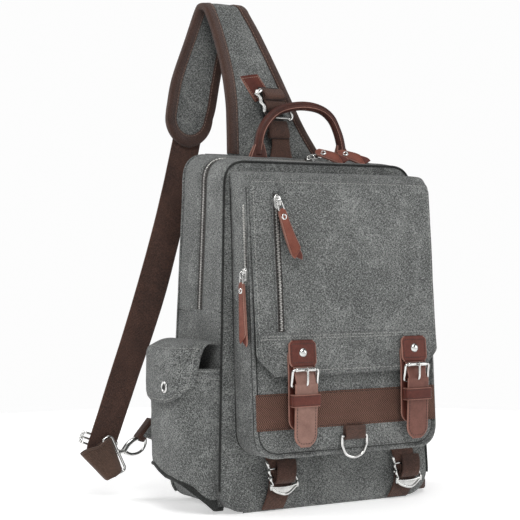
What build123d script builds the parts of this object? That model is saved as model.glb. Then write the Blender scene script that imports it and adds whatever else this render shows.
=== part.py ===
from build123d import *
import os

# Canvas sling bag, millimetres. The origin is the centre of the base, on the floor.
# +X is the right side seen from the front, +Y is the back, +Z is up.

# --- driving dimensions -----------------------------------------------------
BASE_HALF_WIDTH = 137.0
TOP_HALF_WIDTH = 121.0
FRONT_HEIGHT = 373.0
BACK_HEIGHT = 385.0
FRONT_FOOT_Y = -57.0
FRONT_HEAD_Y = -40.0
BACK_FOOT_Y = 57.0
BACK_HEAD_Y = 51.0
BASE_CORNER = 30.0
TOP_CORNER = 27.0
WALL = 3.0
BACK_PAD = 6.0
SOLE_TRIM = 1.0

ZIP_Y = 5.0
ZIP_END_Z = 212.0
TAPE_HALF = 6.0
TEETH_HALF = 2.6
TEETH_HEIGHT = 1.0
BASE_PANEL_TOP = 32.0

POCKET_HALF_WIDTH = 115.0
POCKET_FLOOR_Z = 62.0
POCKET_MOUTH_Z = 345.0
POCKET_FOOT_Y = -101.9
POCKET_HEAD_Y = -80.0
POCKET_CORNER = 25.0
BAND_MIDDLE_Z = 109.0
WEBBING_WIDTH = 38.0

FLAP_HALF_WIDTH = 116.0
FLAP_SHEET = 3.5
FLAP_TIP_Z = 148.0
FLAP_LINE = [(-42.0, 360.6), (-72.0, 359.0), (-84.0, 345.0), (-97.2, 189.0), (-101.0, FLAP_TIP_Z)]
FLAP_CHAMFER = 20.0
HEM_TOP_Z = 190.0
FLAP_ZIP_X = -86.0

STRAP_LEFT_X = -65.0
STRAP_RIGHT_X = 79.0
LEATHER = 2.2
BASE_LEATHER = 2.0
BAR_YZ = (-109.9, 136.0)
ROLLER_YZ = (-112.9, 153.5)

PULL_WIDTH = 12.0
LUG_HEIGHT = 4.5
BIG = 1000.0

parts = {}


def keep(name, shape):
    """File a finished piece under its node name."""
    parts[name] = shape


# --- helpers ------------------------------------------------------------------
def lean_plane(foot_y, head_y, height):
    """Plane that faces -Y: local x is +X, local y runs up the panel from the floor."""
    along = Vector(0, head_y - foot_y, height).normalized()
    return Plane(origin=(0, foot_y, 0), x_dir=(1, 0, 0), z_dir=Vector(1, 0, 0).cross(along))


def outline(points, radii):
    """Closed face with one corner radius per point."""
    return make_face(FilletPolyline(*points, radius=radii, close=True))


def side_sheet(line, corner, thickness, x_from, x_to):
    """Sheet with a constant YZ section whose middle line runs through the points."""
    section = trace(FilletPolyline(*line, radius=corner), thickness)
    return Pos(x_from, 0, 0) * extrude(Plane.YZ * section, x_to - x_from)


def front_cut(face, y_from, y_to):
    """XZ face turned into a prism between two Y values."""
    return Pos(0, y_to, 0) * extrude(Plane.XZ * face, y_to - y_from)


def box_between(low, high):
    """Box from its lowest to its highest corner."""
    size = [b - a for a, b in zip(low, high)]
    return Pos(*low) * Box(*size, align=(Align.MIN, Align.MIN, Align.MIN))


def edge_strip(left, right, thickness):
    """Flat strip lofted through matching points on its two edges."""
    stations = []
    count = len(left)
    for i in range(count):
        a = Vector(*left[i])
        b = Vector(*right[i])
        before = (Vector(*left[max(i - 1, 0)]) + Vector(*right[max(i - 1, 0)])) / 2
        after = (Vector(*left[min(i + 1, count - 1)]) + Vector(*right[min(i + 1, count - 1)])) / 2
        normal = (after - before).cross(b - a).normalized() * (thickness / 2)
        stations.append(Wire.make_polygon([a - normal, b - normal, b + normal, a + normal]))
    return Part() + Solid.make_loft(stations, ruled=True)


def rod(points, radius, corner):
    """Round bar through the points, with rounded corners."""
    path = FilletPolyline(*points, radius=corner) if len(points) > 2 else Line(*points)
    start = Plane(origin=path @ 0, z_dir=path % 0)
    return sweep(start * Circle(radius), path=path)


def bar(start, end, radius):
    """Straight round bar between two points."""
    run = Vector(*end) - Vector(*start)
    return Plane(origin=start, z_dir=run) * extrude(Circle(radius), run.length)


# --- main compartment -------------------------------------------------------------
front_plane = lean_plane(FRONT_FOOT_Y, FRONT_HEAD_Y, FRONT_HEIGHT)
back_plane = lean_plane(BACK_FOOT_Y, BACK_HEAD_Y, BACK_HEIGHT)


def body_outline(plane, height, inset):
    """Rounded outline of the main compartment on a leaning plane, reaching a little below the floor."""
    foot = BASE_HALF_WIDTH - inset
    head = TOP_HALF_WIDTH - inset
    sole = inset - SOLE_TRIM
    points = [(-foot, sole), (foot, sole), (head, height - inset), (-head, height - inset)]
    low = BASE_CORNER - inset
    high = TOP_CORNER - inset
    return plane * outline(points, [low, low, high, high])


def body_block(inset):
    """Solid between the front and back outlines, drawn in by the inset."""
    front = body_outline(front_plane, FRONT_HEIGHT, inset)
    back = body_outline(back_plane, BACK_HEIGHT, inset)
    return loft([front, back], ruled=True)


# The base is cut flat at the floor.
body_outer = body_block(0) & box_between((-BIG, -BIG, 0), (BIG, BIG, BIG))
front_slab = extrude(front_plane * Rectangle(BIG, BIG), -WALL)
back_slab = extrude(back_plane * Rectangle(BIG, BIG), BACK_PAD)
behind_front = extrude(front_plane * Rectangle(BIG, BIG), -BIG)
middle = body_outer - front_slab - back_slab
ring = middle - body_block(WALL)

below_base_seam = box_between((-BIG, -BIG, -BIG), (BIG, BIG, BASE_PANEL_TOP))
above_zip_end = box_between((-BIG, -BIG, ZIP_END_Z), (BIG, BIG, BIG))
below_zip_end = box_between((-BIG, -BIG, BASE_PANEL_TOP), (BIG, BIG, ZIP_END_Z))
left_half = box_between((-BIG, -BIG, -BIG), (0, BIG, BIG))
right_half = box_between((0, -BIG, -BIG), (BIG, BIG, BIG))
ahead_of_zip = box_between((-BIG, -BIG, -BIG), (BIG, ZIP_Y - TAPE_HALF, BIG))
behind_zip = box_between((-BIG, ZIP_Y + TAPE_HALF, -BIG), (BIG, BIG, BIG))
along_tape = box_between((-BIG, ZIP_Y - TAPE_HALF, -BIG), (BIG, ZIP_Y + TAPE_HALF, BIG))
along_teeth = box_between((-BIG, ZIP_Y - TEETH_HALF, -BIG), (BIG, ZIP_Y + TEETH_HALF, BIG))

keep("front_panel", body_outer & front_slab)
keep("back_panel", body_outer & back_slab)
keep("base_panel", ring & below_base_seam)
keep("side_gusset_left", ring & below_zip_end & left_half)
keep("side_gusset_right", ring & below_zip_end & right_half)
keep("zip_gusset_front", ring & above_zip_end & ahead_of_zip)
keep("zip_gusset_back", ring & above_zip_end & behind_zip)

tape = (body_block(0.9) - body_block(2.1)) & along_tape & above_zip_end
teeth = (body_block(-TEETH_HEIGHT) - body_block(0.9)) & along_teeth & above_zip_end
keep("main_zip_chain", tape + teeth)

PIPING_RADIUS = 1.5
PIPING_START_Z = 24.0
slope = (BASE_HALF_WIDTH - TOP_HALF_WIDTH) / FRONT_HEIGHT
piping_low = BASE_HALF_WIDTH - slope * PIPING_START_Z + PIPING_RADIUS
piping_high = TOP_HALF_WIDTH + PIPING_RADIUS
piping_path = front_plane.offset(-PIPING_RADIUS) * FilletPolyline(
    (-piping_low, PIPING_START_Z),
    (-piping_high, FRONT_HEIGHT + PIPING_RADIUS),
    (piping_high, FRONT_HEIGHT + PIPING_RADIUS),
    (piping_low, PIPING_START_Z),
    radius=TOP_CORNER + PIPING_RADIUS,
)
piping = sweep(Plane(origin=piping_path @ 0, z_dir=piping_path % 0) * Circle(PIPING_RADIUS), path=piping_path)
keep("front_piping", piping - body_outer)

# --- front pocket -----------------------------------------------------------------
pocket_plane = lean_plane(POCKET_FOOT_Y, POCKET_HEAD_Y, POCKET_MOUTH_Z)


def pocket_block(inset, top):
    """Pocket prism from its front plane back past the bag, drawn in by the inset."""
    half = POCKET_HALF_WIDTH - inset
    floor = POCKET_FLOOR_Z + inset
    corner = POCKET_CORNER - inset
    face = outline([(-half, floor), (half, floor), (half, top), (-half, top)], [corner, corner, 0, 0])
    return extrude(pocket_plane * face, -90)


def pocket_y(z):
    """Y of the pocket's front face at a height."""
    return POCKET_FOOT_Y + (POCKET_HEAD_Y - POCKET_FOOT_Y) * z / POCKET_MOUTH_Z


pocket_slab = extrude(pocket_plane * Rectangle(BIG, BIG), -WALL)
pocket_solid = pocket_block(0, POCKET_MOUTH_Z) - behind_front
keep("pocket_front", pocket_solid & pocket_slab)
keep("pocket_gusset", pocket_solid - pocket_block(WALL, POCKET_MOUTH_Z + 50) - pocket_slab)

band = Pos(0, BAND_MIDDLE_Z) * Rectangle(2 * POCKET_HALF_WIDTH, WEBBING_WIDTH)
keep("pocket_band", extrude(pocket_plane * band, 1.5))

# --- zippers, sliders and pulls ------------------------------------------------------


def zip_chain(plane, length, tape_half=5.0):
    """Closed straight zipper: local x runs along it, local z faces out."""
    tape_part = plane * extrude(Rectangle(length, 2 * tape_half), 0.9)
    teeth_part = plane.offset(0.9) * extrude(Rectangle(length, 2 * TEETH_HALF), 1.1)
    return tape_part + teeth_part


def slider(plane, turn):
    """Zipper slider that straddles the teeth, with a lug turned to suit its pull.

    The plane's origin is on the teeth's top, local x along the zipper and local z outward.
    """
    cover = Pos(0, 0, 1.3) * Box(13, 9, 1.8)
    cover += Pos(-5.5, 0, 2.6) * Box(2, 4, 1.0)
    cheeks = [Pos(0, side * 3.8, 0.1) * Box(13, 1.4, 1.6) for side in (-1, 1)]
    lug = Rot(0, 0, turn) * Pos(0, 0, 3.6) * Box(6, 1.6, 5.4)
    hole = Rot(0, 0, turn) * Pos(0, 0, LUG_HEIGHT) * Rot(90, 0, 0) * Cylinder(1.5, 4)
    return plane * (cover + cheeks + lug - hole)


def pull(plane, turn, length):
    """Leather zipper pull on a pin through the slider's lug, lying along local +x when turn is 0."""
    pin = Rot(90, 0, 0) * Cylinder(0.9, 6.4)
    arms = [Pos(4.5, side * 2.6, 0) * Box(10.5, 1.2, 1.6) for side in (-1, 1)]
    tab = Pos(8 + length / 2, 0, 0) * extrude(RectangleRounded(length, PULL_WIDTH, 3.0), 1.5, both=True)
    return plane * (Rot(0, 0, turn) * Pos(0, 0, LUG_HEIGHT) * (pin + arms + tab))


top_along = Vector(0, BACK_HEAD_Y - FRONT_HEAD_Y, BACK_HEIGHT - FRONT_HEIGHT).normalized()
top_normal = Vector(1, 0, 0).cross(top_along)
TOP_Z_AT_ZIP = FRONT_HEIGHT + (ZIP_Y - FRONT_HEAD_Y) * (BACK_HEIGHT - FRONT_HEIGHT) / (BACK_HEAD_Y - FRONT_HEAD_Y)
MAIN_SLIDERS = {"left": 16.0, "right": 46.0}
MAIN_PULL_TURN = -52.0
MAIN_PULL_LENGTH = 34.0
for side, slider_x in MAIN_SLIDERS.items():
    seat = Vector(slider_x, ZIP_Y, TOP_Z_AT_ZIP) + top_normal * TEETH_HEIGHT
    seat_plane = Plane(origin=seat, x_dir=(1, 0, 0), z_dir=top_normal)
    keep(f"main_slider_{side}", slider(seat_plane, MAIN_PULL_TURN))
    keep(f"main_pull_{side}", pull(seat_plane, MAIN_PULL_TURN, MAIN_PULL_LENGTH))

POCKET_ZIP_INSET = 9.0
POCKET_ZIP_Z = (240.0, 326.0)
POCKET_SLIDER_Z = 252.0
pocket_up = Vector(0, POCKET_HEAD_Y - POCKET_FOOT_Y, POCKET_MOUTH_Z).normalized()


def pocket_zip_plane(z, out):
    """Plane on the pocket's left side: local x runs down the zipper, local z faces -X."""
    place = (-POCKET_HALF_WIDTH - out, pocket_y(z) + POCKET_ZIP_INSET, z)
    return Plane(origin=place, x_dir=-pocket_up, z_dir=(-1, 0, 0))


pocket_zip_length = POCKET_ZIP_Z[1] - POCKET_ZIP_Z[0]
pocket_zip_middle = sum(POCKET_ZIP_Z) / 2
keep("pocket_zip_chain", zip_chain(pocket_zip_plane(pocket_zip_middle, 0), pocket_zip_length))
keep("pocket_slider", slider(pocket_zip_plane(POCKET_SLIDER_Z, 2.0), 0))
keep("pocket_pull", pull(pocket_zip_plane(POCKET_SLIDER_Z, 2.0), 0, 56))

# --- flap ---------------------------------------------------------------------------
flap_sheet = side_sheet(FLAP_LINE, [14, 14, 60], FLAP_SHEET, -FLAP_HALF_WIDTH, FLAP_HALF_WIDTH)
flap_face = outline(
    [
        (-FLAP_HALF_WIDTH, FLAP_TIP_Z + FLAP_CHAMFER),
        (-FLAP_HALF_WIDTH + FLAP_CHAMFER, FLAP_TIP_Z - 5),
        (FLAP_HALF_WIDTH - FLAP_CHAMFER, FLAP_TIP_Z - 5),
        (FLAP_HALF_WIDTH, FLAP_TIP_Z + FLAP_CHAMFER),
        (FLAP_HALF_WIDTH, 400),
        (-FLAP_HALF_WIDTH, 400),
    ],
    [6, 6, 6, 6, 0, 0],
)
flap_trim = front_cut(flap_face, -130, 0)
keep("flap_panel", flap_sheet & flap_trim)

HEM_SHEET = 1.2
hem_out = FLAP_SHEET / 2 + HEM_SHEET / 2 + 0.05
hem_line = [(-97.1 - hem_out, HEM_TOP_Z), (FLAP_LINE[-1][0] - hem_out, FLAP_TIP_Z)]
hem_path = Line(*hem_line)
hem_section = trace(hem_path, HEM_SHEET)
hem_sheet = Pos(-FLAP_HALF_WIDTH, 0, 0) * extrude(Plane.YZ * hem_section, 2 * FLAP_HALF_WIDTH)
keep("flap_hem", hem_sheet & flap_trim)

flap_down = Vector(0, FLAP_LINE[3][0] - FLAP_LINE[2][0], FLAP_LINE[3][1] - FLAP_LINE[2][1]).normalized()
flap_out = flap_down.cross(Vector(1, 0, 0))


def flap_plane(z, out):
    """Plane on the flap's face: local x runs down the flap, local z faces out."""
    share = (FLAP_LINE[2][1] - z) / (FLAP_LINE[2][1] - FLAP_LINE[3][1])
    y = FLAP_LINE[2][0] + share * (FLAP_LINE[3][0] - FLAP_LINE[2][0])
    place = Vector(FLAP_ZIP_X, y, z) + flap_out * (FLAP_SHEET / 2 + out)
    return Plane(origin=place, x_dir=flap_down, z_dir=flap_out)


FLAP_ZIP_Z = (194.0, 336.0)
FLAP_SLIDER_Z = 328.0
FLAP_PULL_TURN = 16.0
keep("flap_zip_chain", zip_chain(flap_plane(sum(FLAP_ZIP_Z) / 2, 0.05), FLAP_ZIP_Z[1] - FLAP_ZIP_Z[0]))
keep("flap_slider", slider(flap_plane(FLAP_SLIDER_Z, 2.05), FLAP_PULL_TURN))
keep("flap_pull", pull(flap_plane(FLAP_SLIDER_Z, 2.05), FLAP_PULL_TURN, 46))

# --- satchel straps on the flap ---------------------------------------------------------
STRAP_LINE = [(-104.8, 183.0), (-107.6, 156.0), (-114.4, 139.0), (-114.4, 128.0), (-112.5, 72.0)]
BASE_LINE = [(-102.7, 178.0), (-105.3, 150.0), (-106.3, 90.0)]
KEEPER_Z = (115.0, 128.0)
SNAP_Z = 104.0
SNAP_RADIUS = 6.5


def strap_leather():
    """Stitched tab, neck under the roller, slotted stretch over the bar, and round tail."""
    sheet = side_sheet(STRAP_LINE, [8, 4, 4], LEATHER, -17, 17)
    face = Pos(0, 170) * RectangleRounded(34, 26, 5)
    face += Pos(0, 146) * Rectangle(24, 30)
    face += Pos(0, 102) * RectangleRounded(28, 60, 13.5)
    slot = Pos(0, 135.2) * RectangleRounded(4.4, 10.0, 2.0)
    return sheet & front_cut(face - slot, -130, -90)


def strap_base():
    """Wider leather behind the strap, with a round lower end."""
    sheet = side_sheet(BASE_LINE, 20, BASE_LEATHER, -17, 17)
    face = Pos(0, 134) * RectangleRounded(34, 88, 12)
    return sheet & front_cut(face, -130, -90)


def buckle_frame():
    """Roller buckle: hinge bar, two arms and a thick roller."""
    arm_x = 15.6
    bar_end = (BAR_YZ[0], BAR_YZ[1])
    roller_end = (ROLLER_YZ[0], ROLLER_YZ[1])
    frame = bar((-arm_x, *bar_end), (arm_x, *bar_end), 1.2)
    frame += bar((-arm_x, *roller_end), (arm_x, *roller_end), 1.3)
    frame += bar((-13, *roller_end), (13, *roller_end), 2.0)
    for side in (-arm_x, arm_x):
        frame += bar((side, *bar_end), (side, *roller_end), 1.4)
        frame += Pos(side, *bar_end) * Sphere(1.4)
        frame += Pos(side, *roller_end) * Sphere(1.5)
    return frame


def prong():
    """Prong with an eye on the hinge bar, standing in front of the roller."""
    y, z = BAR_YZ
    reach = -116.9
    eye = Pos(0, y, z) * Rot(0, 90, 0) * (Cylinder(2.4, 2.6) - Cylinder(1.55, 4))
    stub = box_between((-1.1, reach - 1.0, z - 1.1), (1.1, y - 2.0, z + 1.1))
    blade = box_between((-1.1, reach - 1.0, z - 1.1), (1.1, reach + 1.0, z + 20))
    return eye + stub + blade


def keeper():
    """Leather keeper loop round the strap's tail."""
    face = Pos(0, -112.6) * (RectangleRounded(34, 10.8, 3) - Rectangle(30, 7.4))
    return Pos(0, 0, KEEPER_Z[0]) * extrude(face, KEEPER_Z[1] - KEEPER_Z[0])


def facing_disc(x, y_back, z, radius, height, tip=0.7):
    """Disc that faces -Y with a rounded front rim."""
    disc = Plane(origin=(x, y_back, z), z_dir=(0, -1, 0)) * extrude(Circle(radius), height)
    return fillet(disc.edges().sort_by(Axis.Y)[0], tip) if tip else disc


keepers = Part()
rivets = Part()
studs = Part()
sockets = Part()
for side, strap_x in (("left", STRAP_LEFT_X), ("right", STRAP_RIGHT_X)):
    keep(f"strap_{side}", Pos(strap_x, 0, 0) * strap_leather())
    keep(f"strap_base_{side}", Pos(strap_x, 0, 0) * strap_base())
    keep(f"buckle_{side}", Pos(strap_x, 0, 0) * buckle_frame())
    keep(f"prong_{side}", Pos(strap_x, 0, 0) * prong())
    keepers += Pos(strap_x, 0, 0) * keeper()
    rivets += facing_disc(strap_x, -107.75, 171.0, 4.5, 2.2, 1.4)
    studs += facing_disc(strap_x, -99.9, SNAP_Z, SNAP_RADIUS, 4.9, 0)
    socket_back = pocket_y(SNAP_Z) - 2.1
    sockets += facing_disc(strap_x, socket_back, SNAP_Z, SNAP_RADIUS, 2.2, 0.5)
keep("strap_keepers", keepers)
keep("strap_rivets", rivets)
keep("strap_snap_studs", studs)
keep("snap_sockets", sockets)

# --- D-ring on the pocket -------------------------------------------------------------------
RING_X = 5.0
RING_Z = 79.0
RING_TAB_HALF = 13.0
RING_WIRE = 1.6
ring_y = pocket_y(RING_Z) - 3.1
tab_block = box_between((RING_X - RING_TAB_HALF, ring_y - 2.9, 75.5), (RING_X + RING_TAB_HALF, ring_y + 2.4, 89.8))
tab_block -= Pos(RING_X, ring_y, RING_Z) * Rot(0, 90, 0) * Cylinder(2.1, 40)
keep("d_ring_tab", tab_block - extrude(pocket_plane * Rectangle(BIG, BIG), -20))

ring_half = 16.0
ring_loop = FilletPolyline(
    (-ring_half, 0),
    (ring_half, 0),
    (ring_half, -9),
    (ring_half - 5, -20),
    (0, -24),
    (5 - ring_half, -20),
    (-ring_half, -9),
    radius=[1.7, 1.7, 8, 10, 14, 10, 8],
    close=True,
)
ring_loop = Pos(RING_X, ring_y, RING_Z) * (Plane.XZ * ring_loop)
ring_start = Plane(origin=ring_loop @ 0, z_dir=ring_loop % 0)
keep("d_ring", sweep(ring_start * Circle(RING_WIRE), path=ring_loop))

# --- side pocket with its own flap, on the left ---------------------------------------------
SIDE_POCKET_TOP = 153.0
SIDE_SHEET = 2.5


def side_pocket_block(inset):
    """Bellows pocket plan, cut off below by a slope that rises away from the bag."""
    plan = outline(
        [(-100, -46.5), (-146, -46.5), (-171, -34), (-176, 0), (-172, 34), (-146, 48), (-100, 50)],
        [0, 16, 16, 60, 16, 16, 0],
    )
    if inset:
        plan = offset(plan, -inset)
    top = SIDE_POCKET_TOP + (20 if inset else 0)
    profile = outline(
        [(-100, 3 + inset), (-137 - inset, 3 + inset), (-190, 50 + 1.3 * inset), (-190, top), (-100, top)],
        [0, 10, 0, 0, 0],
    )
    return extrude(plan, 200) & front_cut(profile, -100, 100)


keep("side_pocket", side_pocket_block(0) - side_pocket_block(SIDE_SHEET) - body_outer)

SIDE_FLAP_Y = (-35.0, 43.0)
SIDE_FLAP_LINE = [(-131.2, 178.8), (-150.0, 180.5), (-173.0, 176.5), (-181.5, 158.0), (-183.0, 119.0)]
side_flap_section = trace(FilletPolyline(*SIDE_FLAP_LINE, radius=[20, 12, 14]), SIDE_SHEET)
side_flap_sheet = Pos(0, SIDE_FLAP_Y[1], 0) * extrude(Plane.XZ * side_flap_section, SIDE_FLAP_Y[1] - SIDE_FLAP_Y[0])
side_flap_face = outline(
    [(SIDE_FLAP_Y[0], 117), (SIDE_FLAP_Y[1], 117), (SIDE_FLAP_Y[1], 200), (SIDE_FLAP_Y[0], 200)],
    [16, 16, 0, 0],
)
keep("side_flap", side_flap_sheet & Pos(-200, 0, 0) * extrude(Plane.YZ * side_flap_face, 150))

SIDE_SNAP = (2.0, 133.0)
side_snap_cap = Plane(origin=(-184.3, *SIDE_SNAP), z_dir=(-1, 0, 0)) * extrude(Circle(6.5), 2.0)
keep("side_snap_cap", fillet(side_snap_cap.edges().sort_by(Axis.X)[0], 0.8))
keep("side_snap_stud", Plane(origin=(-176.3, *SIDE_SNAP), z_dir=(-1, 0, 0)) * extrude(Circle(6.0), 4.2))

# --- mesh bottle pocket on the right ----------------------------------------------------------
BOTTLE_TOP = 128.0
bottle_plan = outline(
    [(100, -46.5), (139, -46.5), (149, -35), (153, 0), (149, 34), (137, 47), (100, 50)],
    [0, 10, 14, 60, 14, 10, 0],
)
bottle_outer = Pos(0, 0, 4) * extrude(bottle_plan, BOTTLE_TOP - 4)
bottle_inner = Pos(0, 0, 6) * extrude(offset(bottle_plan, -2.0), 200)
keep("bottle_pocket", bottle_outer - bottle_inner - body_outer)

# --- webbing on the base of the front panel ---------------------------------------------------
LASH_WIDTH = 30.0
LASH_SHEET = 2.0


def slide_buckle(plane, width, length):
    """Ladder buckle round a flat webbing that lies in the plane and runs along local y."""
    rail = width / 2 + 2.2
    half = length / 2
    frame = Part()
    for side in (-rail, rail):
        frame += Pos(side, 0, 0) * Box(2.6, length, 5.6)
    for end in (-half + 1.3, half - 1.3):
        frame += Pos(0, end, 2.1) * Box(2 * rail, 2.6, 1.4)
    frame += Pos(0, 0, -2.1) * Box(2 * rail, 3.0, 1.4)
    return plane * frame


LASHES = {"left": (-69.0, -78.5, 26.0), "right": (94.5, 82.5, 22.0)}
for side, (top_x, foot_x, buckle_z) in LASHES.items():
    middle_x = (top_x + foot_x) / 2
    heights = [58.0, 46.0, 12.0, 1.2]
    depths = [-56.2, -61.0, -62.0, -59.5]
    centres = [foot_x + (top_x - foot_x) * z / heights[0] for z in heights]
    left_edge = [(x - LASH_WIDTH / 2, y, z) for x, y, z in zip(centres, depths, heights)]
    right_edge = [(x + LASH_WIDTH / 2, y, z) for x, y, z in zip(centres, depths, heights)]
    lash = edge_strip(left_edge, right_edge, LASH_SHEET)
    keep(f"lash_webbing_{side}", lash - behind_front)
    share = (buckle_z - heights[2]) / (heights[1] - heights[2])
    place = Vector(
        centres[2] + share * (centres[1] - centres[2]),
        depths[2] + share * (depths[1] - depths[2]),
        buckle_z,
    )
    run = Vector(centres[1] - centres[2], depths[1] - depths[2], heights[1] - heights[2]).normalized()
    facing = Vector(1, 0, 0).cross(run).normalized()
    across = run.cross(facing)
    keep(f"lash_buckle_{side}", slide_buckle(Plane(origin=place, x_dir=across, z_dir=facing), LASH_WIDTH, 14))

# --- grab handle ----------------------------------------------------------------------------------
HANDLE_Y = 28.0
HANDLE_RADIUS = 5.3
top_z_at_handle = FRONT_HEIGHT + (HANDLE_Y - FRONT_HEAD_Y) * (BACK_HEIGHT - FRONT_HEIGHT) / (BACK_HEAD_Y - FRONT_HEAD_Y)
handle_points = [(-40, 389), (-37, 412), (-10, 437), (18, 444), (46, 441), (66, 421), (74, 389)]
handle_rod = rod([(x, HANDLE_Y, z) for x, z in handle_points], HANDLE_RADIUS, [26, 30, 40, 36, 28])
for foot_x, lean in ((-40.0, 6), (74.0, -8)):
    foot = Pos(foot_x, HANDLE_Y, top_z_at_handle + 6.6) * Rot(0, lean, 0) * Box(20, 7, 8)
    handle_rod += fillet(foot.edges().filter_by(Axis.Y), 2.0)
keep("handle", handle_rod)

# --- shoulder strap --------------------------------------------------------------------------------
front_leg_left = [(-66, 50, 387), (-65, 53, 420), (-65, 56, 450), (-68, 62, 488), (-75, 70, 530), (-80, 75, 552)]
front_leg_right = [(57, 50, 387), (36, 53, 420), (21, 56, 450), (4, 62, 488), (-14, 70, 530), (-24, 75, 552)]
fold_left = [(-82, 78, 560), (-84, 85, 564), (-86, 92, 558)]
fold_right = [(-28, 78, 562), (-31, 85, 566), (-35, 92, 560)]
back_leg_left = [(-96, 97, 520), (-111, 100, 476), (-114, 106, 445), (-113, 110, 425), (-104, 111, 408)]
back_leg_right = [(-43, 97, 520), (-51, 100, 476), (-53, 106, 445), (-57, 110, 425), (-66, 111, 408)]
keep(
    "shoulder_strap",
    edge_strip(front_leg_left + fold_left + back_leg_left, front_leg_right + fold_right + back_leg_right, 6.0),
)

WEBBING_SHEET = 2.0
webbing_left = [(-104, 111.5, 407.5), (-128, 110.5, 318), (-158, 110, 220), (-189.5, 109, 130), (-212, 109, 66)]
webbing_right = [(-67, 111.5, 407.5), (-90, 110.5, 318), (-118, 110, 220), (-152, 109, 130), (-176, 109, 66)]
keep("strap_webbing", edge_strip(webbing_left, webbing_right, WEBBING_SHEET))

webbing_low = Vector(-194, 109, 66)
webbing_high = Vector(-170.75, 109, 130)
glide_run = (webbing_high - webbing_low).normalized()
glide_plane = Plane(origin=webbing_low + glide_run * 14, x_dir=glide_run.cross(Vector(0, -1, 0)), z_dir=(0, -1, 0))
keep("strap_triglide", slide_buckle(glide_plane, 39.5, 16))

# Folded end of the webbing round the hook's ring. HOOK_UP runs along the ring's bar.
HOOK_Y = 100.0
RING_BAR = Vector(-183, HOOK_Y, 49)
HOOK_UP = Vector(-0.41, 0, 0.912).normalized()
HOOK_BACK = Vector(-0.912, 0, -0.41).normalized()
loop_plane = Plane(origin=RING_BAR, x_dir=HOOK_BACK, z_dir=HOOK_UP)
loop_face = Pos(12.5, 0) * (SlotOverall(34, 9.0) - SlotOverall(30, 5.6))
keep("strap_end_loop", loop_plane * extrude(loop_face, WEBBING_WIDTH / 2, both=True))

ring_frame = FilletPolyline(
    (0, -21.5),
    (0, 21.5),
    (-7, 21.5),
    (-11, 13),
    (-11, -13),
    (-7, -21.5),
    radius=[3, 3, 3, 3, 3, 3],
    close=True,
)
ring_frame_plane = Plane(origin=RING_BAR, x_dir=HOOK_BACK, z_dir=HOOK_BACK.cross(HOOK_UP))
ring_frame = ring_frame_plane * ring_frame
frame_start = Plane(origin=ring_frame @ 0, z_dir=ring_frame % 0)
hook_ring = sweep(frame_start * Circle(1.8), path=ring_frame)
SWIVEL = RING_BAR - HOOK_BACK * 11
hook_ring -= bar(SWIVEL + HOOK_BACK * 4, SWIVEL - HOOK_BACK * 4, 1.5)
collar = bar(SWIVEL + HOOK_BACK * 2.2, SWIVEL - HOOK_BACK * 2.2, 4.0)
keep("hook_ring", hook_ring + (collar - bar(SWIVEL + HOOK_BACK * 5, SWIVEL - HOOK_BACK * 5, 1.9)))

# Snap hook: an eye of thick wire through the anchor loop, closed by a gate.
hook_stem = bar(SWIVEL + HOOK_BACK * 4.4, SWIVEL - HOOK_BACK * 4.4, 1.5)
hook_stem += bar(SWIVEL + HOOK_BACK * 4.9, SWIVEL + HOOK_BACK * 2.6, 3.0)
hook_stem += bar(SWIVEL - HOOK_BACK * 2.6, SWIVEL - HOOK_BACK * 8.0, 3.6)
HOOK_POINTS = [(-167, 56), (-157, 65), (-140, 83.5), (-129, 85), (-123, 76), (-130, 62)]
hook_eye = rod([(x, HOOK_Y, z) for x, z in HOOK_POINTS], 1.8, [16, 8, 5, 8])
keep("hook_body", hook_stem + hook_eye)
GATE_PIVOT = (-161.5, HOOK_Y, 55.2)
gate = bar((-157.5, HOOK_Y, 55.2), (-133.5, HOOK_Y, 57.5), 1.5)
keep("hook_gate", gate)

# Anchor: webbing tunnel round the hook, on a canvas tab sewn into the back corner.
TUNNEL_LOW = Vector(-155, HOOK_Y, 67.2)
TUNNEL_HIGH = Vector(-140.8, HOOK_Y, 82.6)
tunnel_run = (TUNNEL_HIGH - TUNNEL_LOW).normalized()
tunnel_plane = Plane(origin=TUNNEL_LOW, x_dir=(0, -1, 0), z_dir=tunnel_run)
tunnel_face = Pos(3.0, 0) * (SlotOverall(16, 10.4) - SlotOverall(13, 7.4))
tunnel_length = (TUNNEL_HIGH - TUNNEL_LOW).length
keep("anchor_loop", tunnel_plane * extrude(tunnel_face, tunnel_length))
tab_left = [(-134.6, 59.2, 58), (-155, 88.5, 67.0)]
tab_right = [(-133.0, 59.2, 97), (-140.6, 88.5, 82.8)]
keep("anchor_tab", edge_strip(tab_left, tab_right, 3.0) - body_outer)

# --- load lifter --------------------------------------------------------------------------------------
lifter_left = [(-30, 40, 384.5), (-24, 41, 400), (-22, 43, 424), (-38, 47.5, 452), (-46, 52.5, 474)]
lifter_right = [(6, 40, 384.5), (8, 41, 400), (10, 43, 424), (-14, 47.5, 452), (-20, 52.5, 474)]
keep("lifter_webbing", edge_strip(lifter_left, lifter_right, 2.0) - body_outer)
patch_left = [(-36, 51.9, 452), (-47, 56.3, 480)]
patch_right = [(-10, 51.9, 452), (-19, 56.3, 480)]
keep("lifter_patch", edge_strip(patch_left, patch_right, 2.0))

for name, shape in parts.items():
    export_step(shape, f"parts/{name}.step")
    print(name, len(shape.solids()), round(shape.volume))
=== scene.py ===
import math

import bpy
import numpy as np
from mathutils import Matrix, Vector, noise


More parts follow.
